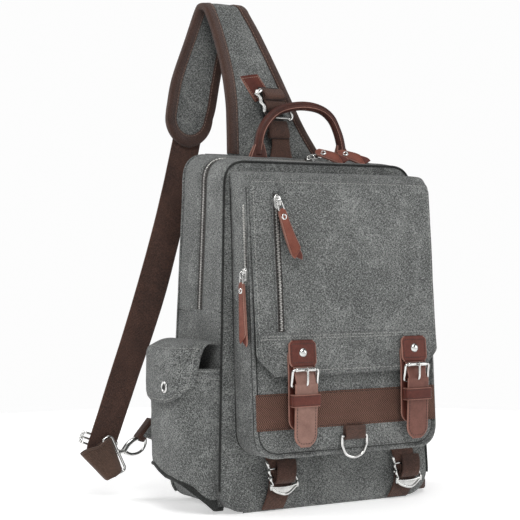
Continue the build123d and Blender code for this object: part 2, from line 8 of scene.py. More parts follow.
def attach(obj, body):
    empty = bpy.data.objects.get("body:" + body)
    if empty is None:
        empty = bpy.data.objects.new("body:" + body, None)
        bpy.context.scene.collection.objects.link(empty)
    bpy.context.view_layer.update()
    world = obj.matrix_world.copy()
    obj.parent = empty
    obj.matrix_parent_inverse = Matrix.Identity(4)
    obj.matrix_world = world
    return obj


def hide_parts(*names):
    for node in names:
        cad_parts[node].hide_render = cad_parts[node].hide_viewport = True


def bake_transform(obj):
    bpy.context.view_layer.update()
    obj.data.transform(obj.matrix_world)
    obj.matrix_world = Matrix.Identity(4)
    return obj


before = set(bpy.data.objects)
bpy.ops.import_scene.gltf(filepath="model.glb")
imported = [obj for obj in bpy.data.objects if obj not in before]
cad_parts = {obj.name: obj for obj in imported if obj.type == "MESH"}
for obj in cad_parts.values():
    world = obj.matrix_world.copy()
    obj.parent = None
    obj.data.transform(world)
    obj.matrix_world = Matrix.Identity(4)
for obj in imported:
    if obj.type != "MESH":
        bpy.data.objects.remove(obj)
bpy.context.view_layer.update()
MM = 0.001
TAU = 2 * math.pi

# Main sizes of the bag in millimetres.
BASE_HALF, TOP_HALF = 137.0, 121.0
LOW_CORNER, HIGH_CORNER = 30.0, 27.0
FRONT_HIGH, BACK_HIGH = 373.0, 385.0
FRONT_EDGE_Y, TOP_DEPTH = -40.0, 91.0
POCKET_HALF, POCKET_FOOT, POCKET_TOP, POCKET_CORNER = 115.0, 62.0, 345.0, 25.0
FLAP_HALF = 116.0
CANVAS_THICK = 3.0
ZIP_Y = 5.0
SMALL_TEETH = (1.9, 3.1, 1.5)
HANDLE_Y = 28.0
FINE_THREAD = 0.28
PAD = 5.6
STRAP_XS = {"left": -65.0, "right": 79.0}
FRONTWARDS = np.array([0, -1.0, 0])


# --- small maths ---
def arr(points):
    return np.array(points, float)


def unit(v):
    return v / np.maximum(np.linalg.norm(v, axis=-1, keepdims=True), 1e-9)


def xyz(x, y, z):
    """Points from coordinates, any of which may be a single number."""
    return np.stack(np.broadcast_arrays(x, y, z), -1)


def mirrored(x, half, y, z):
    """The two edge lines of a strip centred on x."""
    return xyz(x - half, y, z), xyz(x + half, y, z)


def along(points):
    """Distance travelled at each point of a polyline."""
    return np.concatenate([[0.0], np.cumsum(np.linalg.norm(np.diff(points, axis=0), axis=1))])


def pick(points, t):
    """Points at the distances t along a polyline."""
    s = along(points)
    return np.stack([np.interp(t, s, points[:, k]) for k in range(points.shape[1])], 1)


def resample(points, spacing):
    points = arr(points)
    total = along(points)[-1]
    count = max(2, int(round(total / spacing)) + 1)
    return pick(points, np.linspace(0, total, count))


def spline(points, per=10):
    """Smooth curve through every point."""
    p = arr(points)
    p = np.vstack([2 * p[0] - p[1], p, 2 * p[-1] - p[-2]])
    out = []
    for i in range(1, len(p) - 2):
        a, b, c, d = p[i - 1 : i + 3]
        for t in np.arange(per) / per:
            out.append(
                0.5 * (
                    2 * b + (c - a) * t + (2 * a - 5 * b + 4 * c - d) * t**2 + (3 * b - a - 3 * c + d) * t**3
                )
            )
    out.append(p[-2])
    return np.array(out)


def rounded(points, radii, closed=False, steps=8):
    """Polyline with its corners rounded."""
    p = arr(points)
    count = len(p)
    if np.isscalar(radii):
        radii = [radii] * count
    out = []
    for i in range(count):
        if not closed and i in (0, count - 1):
            out.append(p[i])
            continue
        radius = radii[i] if len(radii) == count else radii[i - 1]
        to_a = p[i - 1] - p[i]
        to_b = p[(i + 1) % count] - p[i]
        la, lb = np.linalg.norm(to_a), np.linalg.norm(to_b)
        da, db = to_a / la, to_b / lb
        angle = math.acos(max(-1, min(1, float(da @ db))))
        reach = min(radius / max(math.tan(angle / 2), 1e-6), 0.49 * la, 0.49 * lb)
        for t in np.linspace(0, 1, steps + 1):
            out.append(
                (1 - t) ** 2 * (p[i] + da * reach) + 2 * t * (1 - t) * p[i] + t * t * (p[i] + db * reach)
            )
    return np.array(out)


def quarter(count):
    """Angles of a quarter turn."""
    return np.linspace(0, math.pi / 2, count)


def tube_faces(count, around):
    """Vertex numbers of a row-by-row skin, and its quads."""
    index = np.arange(count * around).reshape(count, around)
    nxt = np.roll(index, -1, axis=1)
    return index, np.stack([index[:-1], nxt[:-1], nxt[1:], index[1:]], -1).reshape(-1, 4)


def wobble(points, scale, seed, octaves=3):
    """Smooth random field at points in millimetres, about -1 to 1."""
    shift = Vector((seed * 17.3, seed * 5.1, seed * 9.7))
    flat = points.reshape(-1, 3)
    values = [noise.fractal(Vector(p) * scale + shift, 1.0, 2.0, octaves) for p in flat]
    return np.array(values).reshape(points.shape[:-1])


def ripple(height, scale, seed, octaves=3, rest=0.0):
    """Shape of a strip that only waves a little."""
    return lambda u, v, w, p: rest + height * wobble(p, scale, seed, octaves)


def domed(height):
    """Shape of a strip that is thickest along its middle."""
    return lambda u, v, w, p: height * np.cos((u / w - 0.5) * math.pi)


# --- materials ---
class Shade:
    """A node material put together step by step."""

    def __init__(self, name, roughness=0.8, metallic=0.0):
        self.mat = bpy.data.materials.new(name)
        self.mat.use_nodes = True
        self.tree = self.mat.node_tree
        self.surface = self.tree.nodes["Principled BSDF"]
        self.surface.inputs["Roughness"].default_value = roughness
        self.surface.inputs["Metallic"].default_value = metallic
        self.coords = self.tree.nodes.new("ShaderNodeTexCoord")

    def feed(self, socket, value):
        if isinstance(value, bpy.types.NodeSocket):
            self.tree.links.new(value, socket)
        else:
            socket.default_value = value

    def math(self, operation, *values):
        node = self.tree.nodes.new("ShaderNodeMath")
        node.operation = operation
        for socket, value in zip(node.inputs, values):
            self.feed(socket, value)
        return node.outputs[0]

    def sum(self, *terms):
        total = terms[0]
        for term in terms[1:]:
            total = self.math("ADD", total, term)
        return total

    def scaled(self, value, factor):
        return self.math("MULTIPLY", value, factor)

    def uv(self):
        split = self.tree.nodes.new("ShaderNodeSeparateXYZ")
        self.feed(split.inputs[0], self.coords.outputs["UV"])
        return split.outputs[0], split.outputs[1]

    def stretched(self, u, v, across, down):
        join = self.tree.nodes.new("ShaderNodeCombineXYZ")
        self.feed(join.inputs[0], self.scaled(u, across))
        self.feed(join.inputs[1], self.scaled(v, down))
        return join.outputs[0]

    def noise(self, scale, detail=3.0, vector=None, roughness=0.55):
        node = self.tree.nodes.new("ShaderNodeTexNoise")
        self.feed(node.inputs["Vector"], vector or self.coords.outputs["Object"])
        node.inputs["Scale"].default_value = scale
        node.inputs["Detail"].default_value = detail
        node.inputs["Roughness"].default_value = roughness
        return node.outputs["Fac"]

    def cells(self, scale):
        node = self.tree.nodes.new("ShaderNodeTexVoronoi")
        self.feed(node.inputs["Vector"], self.coords.outputs["Object"])
        node.inputs["Scale"].default_value = scale
        return node.outputs["Distance"]

    def ramp(self, value, stops):
        node = self.tree.nodes.new("ShaderNodeValToRGB")
        elements = node.color_ramp.elements
        while len(elements) < len(stops):
            elements.new(0.5)
        for element, (place, colour) in zip(elements, stops):
            element.position = place
            element.color = (*colour, 1.0)
        self.feed(node.inputs[0], value)
        return node.outputs[0]

    def colour(self, value):
        self.feed(self.surface.inputs["Base Color"], value)

    def roughness(self, value):
        self.feed(self.surface.inputs["Roughness"], value)

    def bump(self, height, distance, strength=1.0, below=None):
        node = self.tree.nodes.new("ShaderNodeBump")
        node.inputs["Distance"].default_value = distance
        node.inputs["Strength"].default_value = strength
        self.feed(node.inputs["Height"], height)
        if below is not None:
            self.feed(node.inputs["Normal"], below)
        self.feed(self.surface.inputs["Normal"], node.outputs[0])
        return node.outputs[0]


def grid_weave(s, u, v, pitch_u, pitch_v):
    """Height of a plain weave: threads pass over and under each other."""
    warp = s.math("SINE", s.scaled(u, TAU / pitch_u))
    weft = s.math("SINE", s.scaled(v, TAU / pitch_v))
    return s.math("MULTIPLY", warp, weft)


def canvas_material(name, dark, middle, light, pitch=0.0011):
    s = Shade(name, 0.92)
    u, v = s.uv()
    weave = grid_weave(s, u, v, pitch, pitch)
    slub_down = s.noise(1.0, 2.0, s.stretched(u, v, 1300, 380))
    slub_across = s.noise(1.0, 2.0, s.stretched(u, v, 380, 1300))
    speck = s.noise(1150, 2.0, roughness=0.6)
    patch = s.noise(11, 4.0)
    cloud = s.noise(42, 3.0)
    fold = s.math("ABSOLUTE", s.math("SUBTRACT", s.noise(14, 5.0), 0.5))
    crease = s.math("SUBTRACT", 0.5, s.math("MINIMUM", s.scaled(fold, 22), 0.5))
    value = s.sum(
        s.scaled(slub_down, 0.42),
        s.scaled(slub_across, 0.42),
        s.scaled(speck, 0.62),
        s.scaled(patch, 0.13),
        s.scaled(cloud, 0.10),
        s.scaled(crease, 0.09),
        s.scaled(weave, 0.05),
        -0.36,
    )
    s.colour(s.ramp(value, [(0.405, dark), (0.5, middle), (0.60, light)]))
    rough = s.bump(s.sum(slub_down, slub_across), 0.00022, 0.6)
    s.bump(weave, 0.00014, 0.9, rough)
    s.surface.inputs["Sheen Weight"].default_value = 0.12
    s.surface.inputs["Sheen Roughness"].default_value = 0.6
    s.surface.inputs["Specular IOR Level"].default_value = 0.2
    return s.mat


def webbing_material(name, dark, light, pitch_u=0.0016, pitch_v=0.0021):
    s = Shade(name, 0.85)
    u, v = s.uv()
    weave = grid_weave(s, u, v, pitch_u, pitch_v)
    rib = s.math("SINE", s.scaled(u, TAU / pitch_u))
    value = s.sum(
        s.scaled(weave, 0.20), s.scaled(rib, 0.10), s.scaled(s.noise(700, 2.0), 0.60),
        s.scaled(s.noise(40, 3.0), 0.35), 0.0,
    )
    s.colour(s.ramp(value, [(0.25, dark), (0.72, light)]))
    s.bump(weave, 0.00035, 0.9)
    s.surface.inputs["Sheen Weight"].default_value = 0.15
    s.surface.inputs["Specular IOR Level"].default_value = 0.25
    return s.mat


def herringbone_material(name, dark, light):
    s = Shade(name, 0.85)
    u, v = s.uv()
    zigzag = s.math("PINGPONG", u, 0.0048)
    rope = s.math("SINE", s.scaled(s.sum(zigzag, v), TAU / 0.0024))
    thread = s.math("SINE", s.scaled(u, TAU / 0.0012))
    value = s.sum(
        s.scaled(rope, 0.34), s.scaled(thread, 0.08), s.scaled(s.noise(800, 2.0), 0.50),
        s.scaled(s.noise(35, 3.0), 0.20), 0.20,
    )
    s.colour(s.ramp(value, [(0.2, dark), (0.8, light)]))
    s.bump(s.sum(rope, s.scaled(thread, 0.3)), 0.0004, 0.9)
    s.surface.inputs["Specular IOR Level"].default_value = 0.25
    return s.mat


def leather_material(name, dark, light, roughness=0.42):
    s = Shade(name, roughness)
    grain = s.cells(900)
    pores = s.noise(1600, 3.0)
    tone = s.sum(
        s.scaled(s.noise(28, 4.0), 0.55), s.scaled(s.noise(160, 3.0), 0.30), s.scaled(grain, 0.15),
        s.scaled(pores, 0.1), -0.05,
    )
    s.colour(s.ramp(tone, [(0.28, dark), (0.72, light)]))
    s.roughness(s.sum(s.scaled(s.noise(220, 2.0), 0.3), roughness - 0.15))
    first = s.bump(grain, 0.00025, 0.55)
    s.bump(pores, 0.0002, 0.45, first)
    s.surface.inputs["Specular IOR Level"].default_value = 0.2
    return s.mat


def metal_material(name, dark, light, roughness=0.2):
    s = Shade(name, roughness, 1.0)
    s.colour(s.ramp(s.noise(90, 3.0), [(0.3, dark), (0.7, light)]))
    s.roughness(s.sum(s.scaled(s.noise(500, 3.0), 0.16), roughness - 0.08))
    s.bump(s.noise(260, 2.0), 0.00012, 0.25)
    return s.mat


def thread_material(name, dark, light):
    s = Shade(name, 0.75)
    s.colour(s.ramp(s.noise(900, 2.0), [(0.3, dark), (0.7, light)]))
    s.bump(s.noise(2600, 2.0), 0.0001, 0.6)
    return s.mat


CANVAS = canvas_material("canvas_grey", (0.036, 0.038, 0.037), (0.113, 0.118, 0.115), (0.300, 0.310, 0.300))
# Near-black copy of the grey canvas: painted shade on undersides, gaps and shadow lines, and also the dark
# colour of the piping cords and seam lines.
CANVAS_DARK = canvas_material(
    "canvas_shadow", (0.006, 0.007, 0.006), (0.015, 0.016, 0.015), (0.04, 0.042, 0.04),
)
AIR_MESH = canvas_material(
    "air_mesh", (0.020, 0.020, 0.020), (0.045, 0.046, 0.045), (0.09, 0.092, 0.09), 0.0026,
)
WEBBING = webbing_material("webbing_brown", (0.012, 0.006, 0.004), (0.140, 0.066, 0.046))
# Paler copy of the brown webbing: painted highlight, used on the strap's end fold and its curled top edge.
WEBBING_PAINTED_HIGHLIGHT = webbing_material("webbing_painted_highlight", (0.028, 0.015, 0.010), (0.150, 0.086, 0.060))
HERRINGBONE = herringbone_material("webbing_herringbone", (0.010, 0.005, 0.004), (0.215, 0.112, 0.082))
BINDING = webbing_material("binding_brown", (0.022, 0.011, 0.008), (0.120, 0.060, 0.044), 0.0011, 0.0011)
LEATHER = leather_material("leather_tab", (0.045, 0.012, 0.009), (0.150, 0.042, 0.030))
# Paler copy of the tail leather: painted sheen, used on the left strap's neck and tail.
LEATHER_TAIL_SHEEN = leather_material("leather_tail", (0.150, 0.078, 0.061), (0.300, 0.175, 0.143))
LEATHER_TAIL = leather_material("leather_tail_red", (0.085, 0.034, 0.026), (0.205, 0.090, 0.070))
LEATHER_PULL = leather_material("leather_pull", (0.110, 0.032, 0.021), (0.250, 0.083, 0.057))
LEATHER_DARK = leather_material("leather_handle", (0.026, 0.009, 0.007), (0.098, 0.032, 0.023))
EDGE = leather_material("leather_edge", (0.170, 0.075, 0.056), (0.360, 0.190, 0.150), 0.6)
CHROME = metal_material("hardware_chrome", (0.50, 0.50, 0.49), (0.78, 0.78, 0.76), 0.17)
TEETH = metal_material("zip_teeth", (0.44, 0.43, 0.41), (0.76, 0.75, 0.72), 0.38)
# Near-black discs inside eyelets, prong slots and the side snap's open centre: painted shade.
HOLE_SHADE = thread_material("hole_painted_shade", (0.006, 0.005, 0.005), (0.014, 0.012, 0.011))
TAPE = webbing_material("zip_tape", (0.012, 0.011, 0.010), (0.045, 0.038, 0.034), 0.0009, 0.0009)
THREAD_PALE = thread_material("thread_pale", (0.26, 0.26, 0.25), (0.42, 0.42, 0.40))
THREAD_GREY = thread_material("thread_grey", (0.075, 0.077, 0.074), (0.13, 0.132, 0.128))
THREAD_DARK = thread_material("thread_dark", (0.022, 0.012, 0.010), (0.055, 0.030, 0.024))
THREAD_TAN = thread_material("thread_tan", (0.22, 0.13, 0.10), (0.38, 0.25, 0.20))
NET = thread_material("net_brown", (0.028, 0.016, 0.012), (0.085, 0.050, 0.038))


# --- mesh makers ---
def make(name, verts, faces, mats, body, nodes=(), uv=None, face_mats=None, smooth=True):
    """One piece from vertices in millimetres."""
    mesh = bpy.data.meshes.new(name)
    mesh.from_pydata((np.asarray(verts, float) * MM).tolist(), [], [list(map(int, f)) for f in faces])
    for mat in mats if isinstance(mats, (list, tuple)) else [mats]:
        mesh.materials.append(mat)
    if uv is not None:
        layer = mesh.uv_layers.new(name="UVMap")
        index = np.zeros(len(mesh.loops), np.int32)
        mesh.loops.foreach_get("vertex_index", index)
        layer.data.foreach_set("uv", (np.asarray(uv, np.float32) * MM)[index].ravel())
    if face_mats is not None:
        mesh.polygons.foreach_set("material_index", np.asarray(face_mats, np.int32))
    if smooth:
        mesh.polygons.foreach_set("use_smooth", np.ones(len(mesh.polygons), bool))
    mesh.update()
    piece = bpy.data.objects.new(name, mesh)
    bpy.context.scene.collection.objects.link(piece)
    if body:
        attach(piece, body)
    if nodes:
        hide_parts(*nodes)
    return piece


class Sheet:
    """A strip of material with rounded edges between two edge lines.

    shape(u, v, w, p) gives how far the strip is pushed out along its normal, in millimetres,
    for the distance u from the first edge, the distance v along, the width w and the point p.
    """

    def __init__(self, a, b, thick, cols=12, side=1, shape=None, edge_steps=3, round_ends=True):
        a, b = arr(a), arr(b)
        self.a, self.b = a, b
        mid = (a + b) / 2
        self.v = along(mid)
        self.width = np.linalg.norm(b - a, axis=1)
        self.across = unit(b - a)
        self.tangent = unit(np.gradient(mid, np.maximum(self.v, np.arange(len(mid)) * 1e-6), axis=0))
        self.normal = unit(np.cross(self.tangent, self.across)) * side
        half = thick / 2
        self.edge = np.minimum(half, self.width * 0.45)
        c = np.linspace(0, 1, cols + 1)
        u = self.edge[:, None] + c[None, :] * (self.width - 2 * self.edge)[:, None]
        face = a[:, None] + self.across[:, None] * u[:, :, None]
        v = np.repeat(self.v[:, None], cols + 1, 1)
        w = np.repeat(self.width[:, None], cols + 1, 1)
        lift = shape(u, v, w, face) if shape else np.zeros_like(u)
        middle = face + self.normal[:, None] * lift[:, :, None]
        self.outer = middle + self.normal[:, None] * half
        inner = middle - self.normal[:, None] * half
        turns = np.linspace(0, math.pi, edge_steps + 2)[1:-1]
        bends = [
            (self.across * (self.edge * math.sin(t))[:, None], self.normal * (half * math.cos(t)))
            for t in turns
        ]
        far = [middle[:, -1] + out + up for out, up in bends]
        near = [middle[:, 0] - out + up for out, up in bends]
        rows = np.concatenate(
            [self.outer, np.stack(far, 1), inner[:, ::-1], np.stack(near[::-1], 1)], axis=1
        )
        uf = np.stack([self.width - self.edge + half * t for t in turns], 1)
        un = np.stack([self.edge - half * t for t in turns[::-1]], 1)
        us = np.concatenate([u, uf, u[:, ::-1], un], axis=1)
        vs = np.repeat(self.v[:, None], us.shape[1], 1)
        spine = np.concatenate(
            [
                middle, np.repeat(middle[:, -1:], edge_steps, 1), middle[:, ::-1],
                np.repeat(middle[:, :1], edge_steps, 1),
            ],
            axis=1,
        )
        if round_ends:
            first, last = [], []
            for turn in (1.3, 0.9, 0.45):
                for rows_out, i, sign in ((first, 0, -1), (last, -1, 1)):
                    offset = rows[i] - spine[i]
                    flat = offset - (offset @ self.normal[i])[:, None] * self.normal[i]
                    squeezed = spine[i] + flat + (offset - flat) * math.cos(turn)
                    rows_out.append(squeezed + sign * self.tangent[i] * half * math.sin(turn))
            rows = np.concatenate([np.stack(first), rows, np.stack(last[::-1])])
            us = np.concatenate([us[:1]] * 3 + [us] + [us[-1:]] * 3)
            vs = np.concatenate([vs[:1] - 1] * 3 + [vs] + [vs[-1:] + 1] * 3)
        self.rows, self.us, self.vs, self.cols, self.edge_steps = rows, us, vs, cols, edge_steps

    def build(self, name, mats, body, nodes=(), slot=None):
        count, around = self.rows.shape[:2]
        index, quads = tube_faces(count, around)
        kind = np.zeros(around, int)
        cols, steps = self.cols, self.edge_steps
        kind[cols : cols + steps + 1] = 1
        kind[2 * cols + steps + 1 :] = 1
        faces = quads.tolist()
        face_mats = np.tile(kind, count - 1).tolist()
        for row in (0, count - 1):
            line = index[row]
            back = line[cols + 1 + steps : 2 * cols + 2 + steps][::-1]
            for j in range(cols):
                quad = [line[j], line[j + 1], back[j + 1], back[j]]
                faces.append(quad if row else quad[::-1])
                face_mats.append(1)
            far = [line[cols]] + list(line[cols + 1 : cols + 1 + steps]) + [back[-1]]
            near = [back[0]] + list(line[2 * cols + 2 + steps :]) + [line[0]]
            for fan in (far, near):
                faces.append(fan if row else fan[::-1])
                face_mats.append(1)
        mats = mats if isinstance(mats, (list, tuple)) else [mats]
        if len(mats) == 1:
            face_mats = None
        uv = np.stack([self.us.ravel(), self.vs.ravel()], 1)
        self.piece = make(name, self.rows.reshape(-1, 3), faces, mats, body, nodes, uv, face_mats)
        return self.piece

    def at(self, u, v, lift=0.0):
        """Points on the outer face, and the normals there. A negative u counts from the second edge."""
        v = np.asarray(v, float)
        u = np.broadcast_to(np.asarray(u, float), v.shape)
        i = np.clip(np.interp(v, self.v, np.arange(len(self.v))), 0, len(self.v) - 1.001)
        w = np.interp(v, self.v, self.width)
        e = np.interp(v, self.v, self.edge)
        u = np.where(u < 0, w + u, u)
        j = np.clip((u - e) / np.maximum(w - 2 * e, 1e-6), 0, 0.9999) * self.cols
        i0, j0 = i.astype(int), j.astype(int)
        fi, fj = (i - i0)[:, None], (j - j0)[:, None]
        g = self.outer
        p = (g[i0, j0] * (1 - fj) + g[i0, j0 + 1] * fj) * (1 - fi) + (
            g[i0 + 1, j0] * (1 - fj) + g[i0 + 1, j0 + 1] * fj
        ) * fi
        n = unit(self.normal[i0] * (1 - fi) + self.normal[i0 + 1] * fi)
        return p + n * lift, n

    def lengthwise(self, u, lift=0.0):
        """A line down the whole outer face at one distance from an edge."""
        return self.at(u, self.v, lift)

    def run(self, corners, lift=0.0):
        """A line on the outer face through (u, v) corners."""
        dense = resample(arr(corners), 0.7)
        return self.at(dense[:, 0], dense[:, 1], lift)

    def border(self, inset, lift=0.0, v_from=None):
        """A closed line a little inside the outline."""
        vs = np.linspace(self.v[0] if v_from is None else v_from, self.v[-1], 160)
        w = np.interp(vs, self.v, self.width) / 2
        loop = np.concatenate([np.stack([-w, vs], 1), np.stack([w, vs], 1)[::-1]])
        loop = resample(np.vstack([loop, loop[:1]]), 0.8)[:-1]
        d = unit(np.roll(loop, -1, 0) - loop)
        n = np.stack([d[:, 1], -d[:, 0]], 1)
        if (n[5] @ (loop.mean(0) - loop[5])) < 0:
            n = -n
        both = n + np.roll(n, 1, 0)
        dot = np.maximum(1 + (n * np.roll(n, 1, 0)).sum(1, keepdims=True), 0.3)
        inner = loop + both / dot * inset
        keep = np.abs(inner[:, 0]) <= np.interp(inner[:, 1], self.v, self.width) / 2
        inner = inner[keep]
        inner = np.vstack([inner, inner[:1]])
        wi = np.interp(inner[:, 1], self.v, self.width) / 2
        return self.at(np.maximum(inner[:, 0] + wi, 0.01), inner[:, 1], lift)


def bar(points, radius, closed=False, segs=12, flat=None):
    """A round or oval bar along a line, as vertices, faces and uv.

    flat squeezes it by a side factor and an up factor.
    """
    p = arr(points)
    count = len(p)
    radius = np.broadcast_to(np.asarray(radius, float), (count,))
    if closed:
        t = unit(np.roll(p, -1, 0) - np.roll(p, 1, 0))
    else:
        t = unit(np.gradient(p, axis=0))
    up = np.array([0.0, 0.0, 1.0]) if abs(t[0][2]) < 0.9 else np.array([0.0, 1.0, 0.0])
    sides = []
    s = unit(np.cross(t[0], up))
    for i in range(count):
        s = unit(s - t[i] * (s @ t[i]))
        sides.append(s)
    sides = np.array(sides)
    ups = np.cross(sides, t)
    if closed:
        a, b = sides[0], sides[-1]
        b = unit(b - t[0] * (b @ t[0]))
        twist = math.atan2(float(np.cross(b, a) @ t[0]), float(a @ b))
        turn = np.linspace(0, twist, count)[:, None]
        sides = sides * np.cos(turn) - ups * np.sin(turn)
        ups = np.cross(sides, t)
    fs, fu = flat or (1.0, 1.0)
    angle = np.arange(segs) / segs * TAU
    ring = sides[:, None] * (
        np.cos(angle) * fs
    )[None, :, None] + ups[:, None] * (np.sin(angle) * fu)[None, :, None]
    verts = p[:, None] + ring * radius[:, None, None]
    index, quads = tube_faces(count, segs)
    if closed:
        nxt = np.roll(index, -1, 1)
        quads = np.stack([index, nxt, np.roll(nxt, -1, 0), np.roll(index, -1, 0)], -1).reshape(-1, 4)
    faces = quads.tolist()
    if not closed:
        faces += [index[0][::-1].tolist(), index[-1].tolist()]
    uv = np.stack([np.tile(angle, (count, 1)) * radius[:, None], np.repeat(along(p)[:, None], segs, 1)], -1)
    return verts.reshape(-1, 3), faces, uv.reshape(-1, 2)


def tube(name, points, radius, mat, body, nodes=(), slot=None, **form):
    """One bar as a piece of its own."""
    verts, faces, uv = bar(points, radius, **form)
    return make(name, verts, faces, mat, body, nodes, uv)


def joined(name, parts, mats, body, nodes=()):
    """Several (verts, faces, uv) lumps as one piece."""
    verts, faces, uvs, base = [], [], [], 0
    for v, f, w in parts:
        verts.append(v)
        uvs.append(w)
        faces += [[int(i) + base for i in face] for face in f]
        base += len(v)
    return make(name, np.concatenate(verts), faces, mats, body, nodes, np.concatenate(uvs))


def lathe(centre, axis, profile, segs=36):
    """A turned shape: (radius, height) points round an axis."""
    axis = unit(arr(axis))
    helper = arr([0, 0, 1]) if abs(axis[2]) < 0.9 else arr([1, 0, 0])
    x = unit(np.cross(axis, helper))
    y = np.cross(axis, x)
    angle = np.arange(segs) / segs * TAU
    ring = x[None] * np.cos(angle)[:, None] + y[None] * np.sin(angle)[:, None]
    verts = np.concatenate([arr(centre) + ring * r + axis * h for r, h in profile])
    index, quads = tube_faces(len(profile), segs)
    faces = quads.tolist() + [index[0][::-1].tolist(), index[-1].tolist()]
    uv = np.stack([np.tile(angle, len(profile)) * 5, np.repeat([h for r, h in profile], segs)], 1)
    return verts, faces, uv


def turned_piece(name, centre, axis, profile, mat, body, nodes=(), segs=36):
    """One lathe shape as a piece of its own."""
    return joined(name, [lathe(centre, axis, profile, segs)], mat, body, nodes)


CAPSULE = [(-1.0, 0.25), (-0.86, 0.75), (-0.4, 1.0), (0.4, 1.0), (0.86, 0.75), (1.0, 0.25)]


def stitches(name, lines, mat, body, length=2.7, gap=1.0, radius=0.36, slot=None):
    """Rows of separate sewn stitches along (points, normals) lines."""
    verts, faces, base = [], [], 0
    ring = np.arange(6) / 6 * TAU
    for points, normals in lines:
        s = along(points)
        count = int(s[-1] // (length + gap))
        if count < 1:
            continue
        start = (np.arange(count) + 0.15) * (s[-1] / count)
        starts, ends = pick(points, start), pick(points, start + length)
        up = unit(np.stack([np.interp(start, s, normals[:, k]) for k in range(3)], 1))
        d = unit(ends - starts)
        side = unit(np.cross(d, up))
        centre = (starts + ends) / 2
        half = np.linalg.norm(ends - starts, axis=1)[:, None] / 2
        shape = []
        for x, r in CAPSULE:
            for angle in ring:
                around = side * radius * r * math.cos(angle) + up * radius * r * math.sin(angle)
                shape.append(centre + d * half * x + around)
        block = np.stack(shape, 1)
        verts.append(block.reshape(-1, 3))
        every = (tube_faces(6, 6)[1][None] + (np.arange(count) * 36)[:, None, None] + base).reshape(-1, 4)
        faces += every.tolist()
        base += count * 36
    return make(name, np.concatenate(verts), faces, mat, body, ())


def teeth(name, points, normals, mat, body, pitch=1.45, reach=2.3, tall=1.1, nodes=(), slot=None):
    """Two rows of zip teeth that mesh along a line."""
    points, normals = arr(points), arr(normals)
    s = along(points)
    count = int(s[-1] / pitch)
    t = (np.arange(count) + 0.5) * pitch
    c = pick(points, t)
    up = unit(np.stack([np.interp(t, s, normals[:, k]) for k in range(3)], 1))
    d = unit(pick(points, t + 0.4) - pick(points, t - 0.4))
    side = unit(np.cross(d, up)) * np.where(np.arange(count) % 2, 1, -1)[:, None]
    corners = []
    for h, grow in ((0.0, 1.0), (0.7, 0.95), (1.0, 0.6)):
        for x, y in ((-0.32, -0.35), (0.5, -0.5), (0.5, 0.5), (-0.32, 0.35)):
            corners.append(
                c + side * reach * x * grow * (
                    1.15 if x > 0 else 1
                ) + d * pitch * 0.78 * y * grow * 1.1 + up * tall * h
            )
    verts = np.stack(corners, 1).reshape(-1, 3)
    quads = []
    for layer in (0, 4):
        for i in range(4):
            quads.append([layer + i, layer + (i + 1) % 4, layer + 4 + (i + 1) % 4, layer + 4 + i])
    quads.append([8, 9, 10, 11])
    every = (arr(quads)[None] + (np.arange(count) * 12)[:, None, None]).reshape(-1, 4)
    return make(name, verts, every.astype(int).tolist(), mat, body, nodes, smooth=False)


# --- main compartment ---
def y_front(z):
    return -57 + 17 * np.asarray(z) / FRONT_HIGH


def y_back(z):
    return 57 - 6 * np.asarray(z) / BACK_HIGH


def top_z(y):
    """Height of the sloping top at a depth."""
    return FRONT_HIGH + (y - FRONT_EDGE_Y) * (BACK_HIGH - FRONT_HIGH) / TOP_DEPTH


def body_path(height):
    """Outline of the main compartment from the middle of its base round to the left and back."""
    corners = [(0, 0), (-BASE_HALF, 0), (-TOP_HALF, height), (TOP_HALF, height), (BASE_HALF, 0), (0, 0)]
    path = rounded(corners, [0, LOW_CORNER, HIGH_CORNER, HIGH_CORNER, LOW_CORNER, 0], steps=14)
    dense = []
    for p, q in zip(path[:-1], path[1:]):
        count = max(1, int(round(np.linalg.norm(q - p) / 3.0)))
        dense += [p + (q - p) * k / count for k in range(count)]
    return np.array(dense + [path[-1]])


loop_x, front_z = body_path(FRONT_HIGH).T
back_z = np.where(front_z > 340, front_z + (BACK_HIGH - FRONT_HIGH), front_z)
F = xyz(loop_x, y_front(front_z), front_z)
B = xyz(loop_x, y_back(back_z), back_z)


def at_index(loop, ks):
    """Points at fractional places in an outline."""
    return np.stack([np.interp(ks, np.arange(len(loop)), loop[:, i]) for i in range(3)], 1)


def loop_index(z, left):
    """Where the outline passes a height on one side."""
    half = len(F) // 2
    ks = np.arange(len(F))
    part = ks[:half] if left else ks[half:][::-1]
    order = F[part, 2]
    good = np.argsort(order)
    return float(np.interp(z, order[good], part[good]))


def loop_rows(k_from, k_to):
    """Matching front and back outline points between two places, wrapping past the base's middle."""
    n = len(F) - 1
    if k_to < k_from:
        k_to += n
    count = int(abs(k_to - k_from)) + 1
    ks = np.linspace(k_from, k_to, max(count, 8)) % n
    return at_index(F, ks), at_index(B, ks)


def at_depth(f, b, y):
    share = ((y - f[:, 1]) / (b[:, 1] - f[:, 1]))[:, None]
    return f + (b - f) * share


def gusset_shape(seed, bulge=1.8, pinch=1.6, waves=0.7, sink=1.5):
    def shape(u, v, w, p):
        edge = np.minimum(u, w - u)
        x = np.clip(u / w, 0, 1)
        roll = bulge * (1 - (2 * x - 1) ** 2) ** 0.7 - pinch * np.exp(-edge / 1.6)
        pucker = 0.35 * np.exp(-edge / 7) * wobble(p, 0.16, seed + 3, 2)
        return roll - sink + waves * wobble(p, 0.018, seed, 3) + pucker

    return shape


Z_LOW, Z_ZIP = 32.0, 212.0
left_low, left_zip = loop_index(Z_LOW, True), loop_index(Z_ZIP, True)
right_low, right_zip = loop_index(Z_LOW, False), loop_index(Z_ZIP, False)

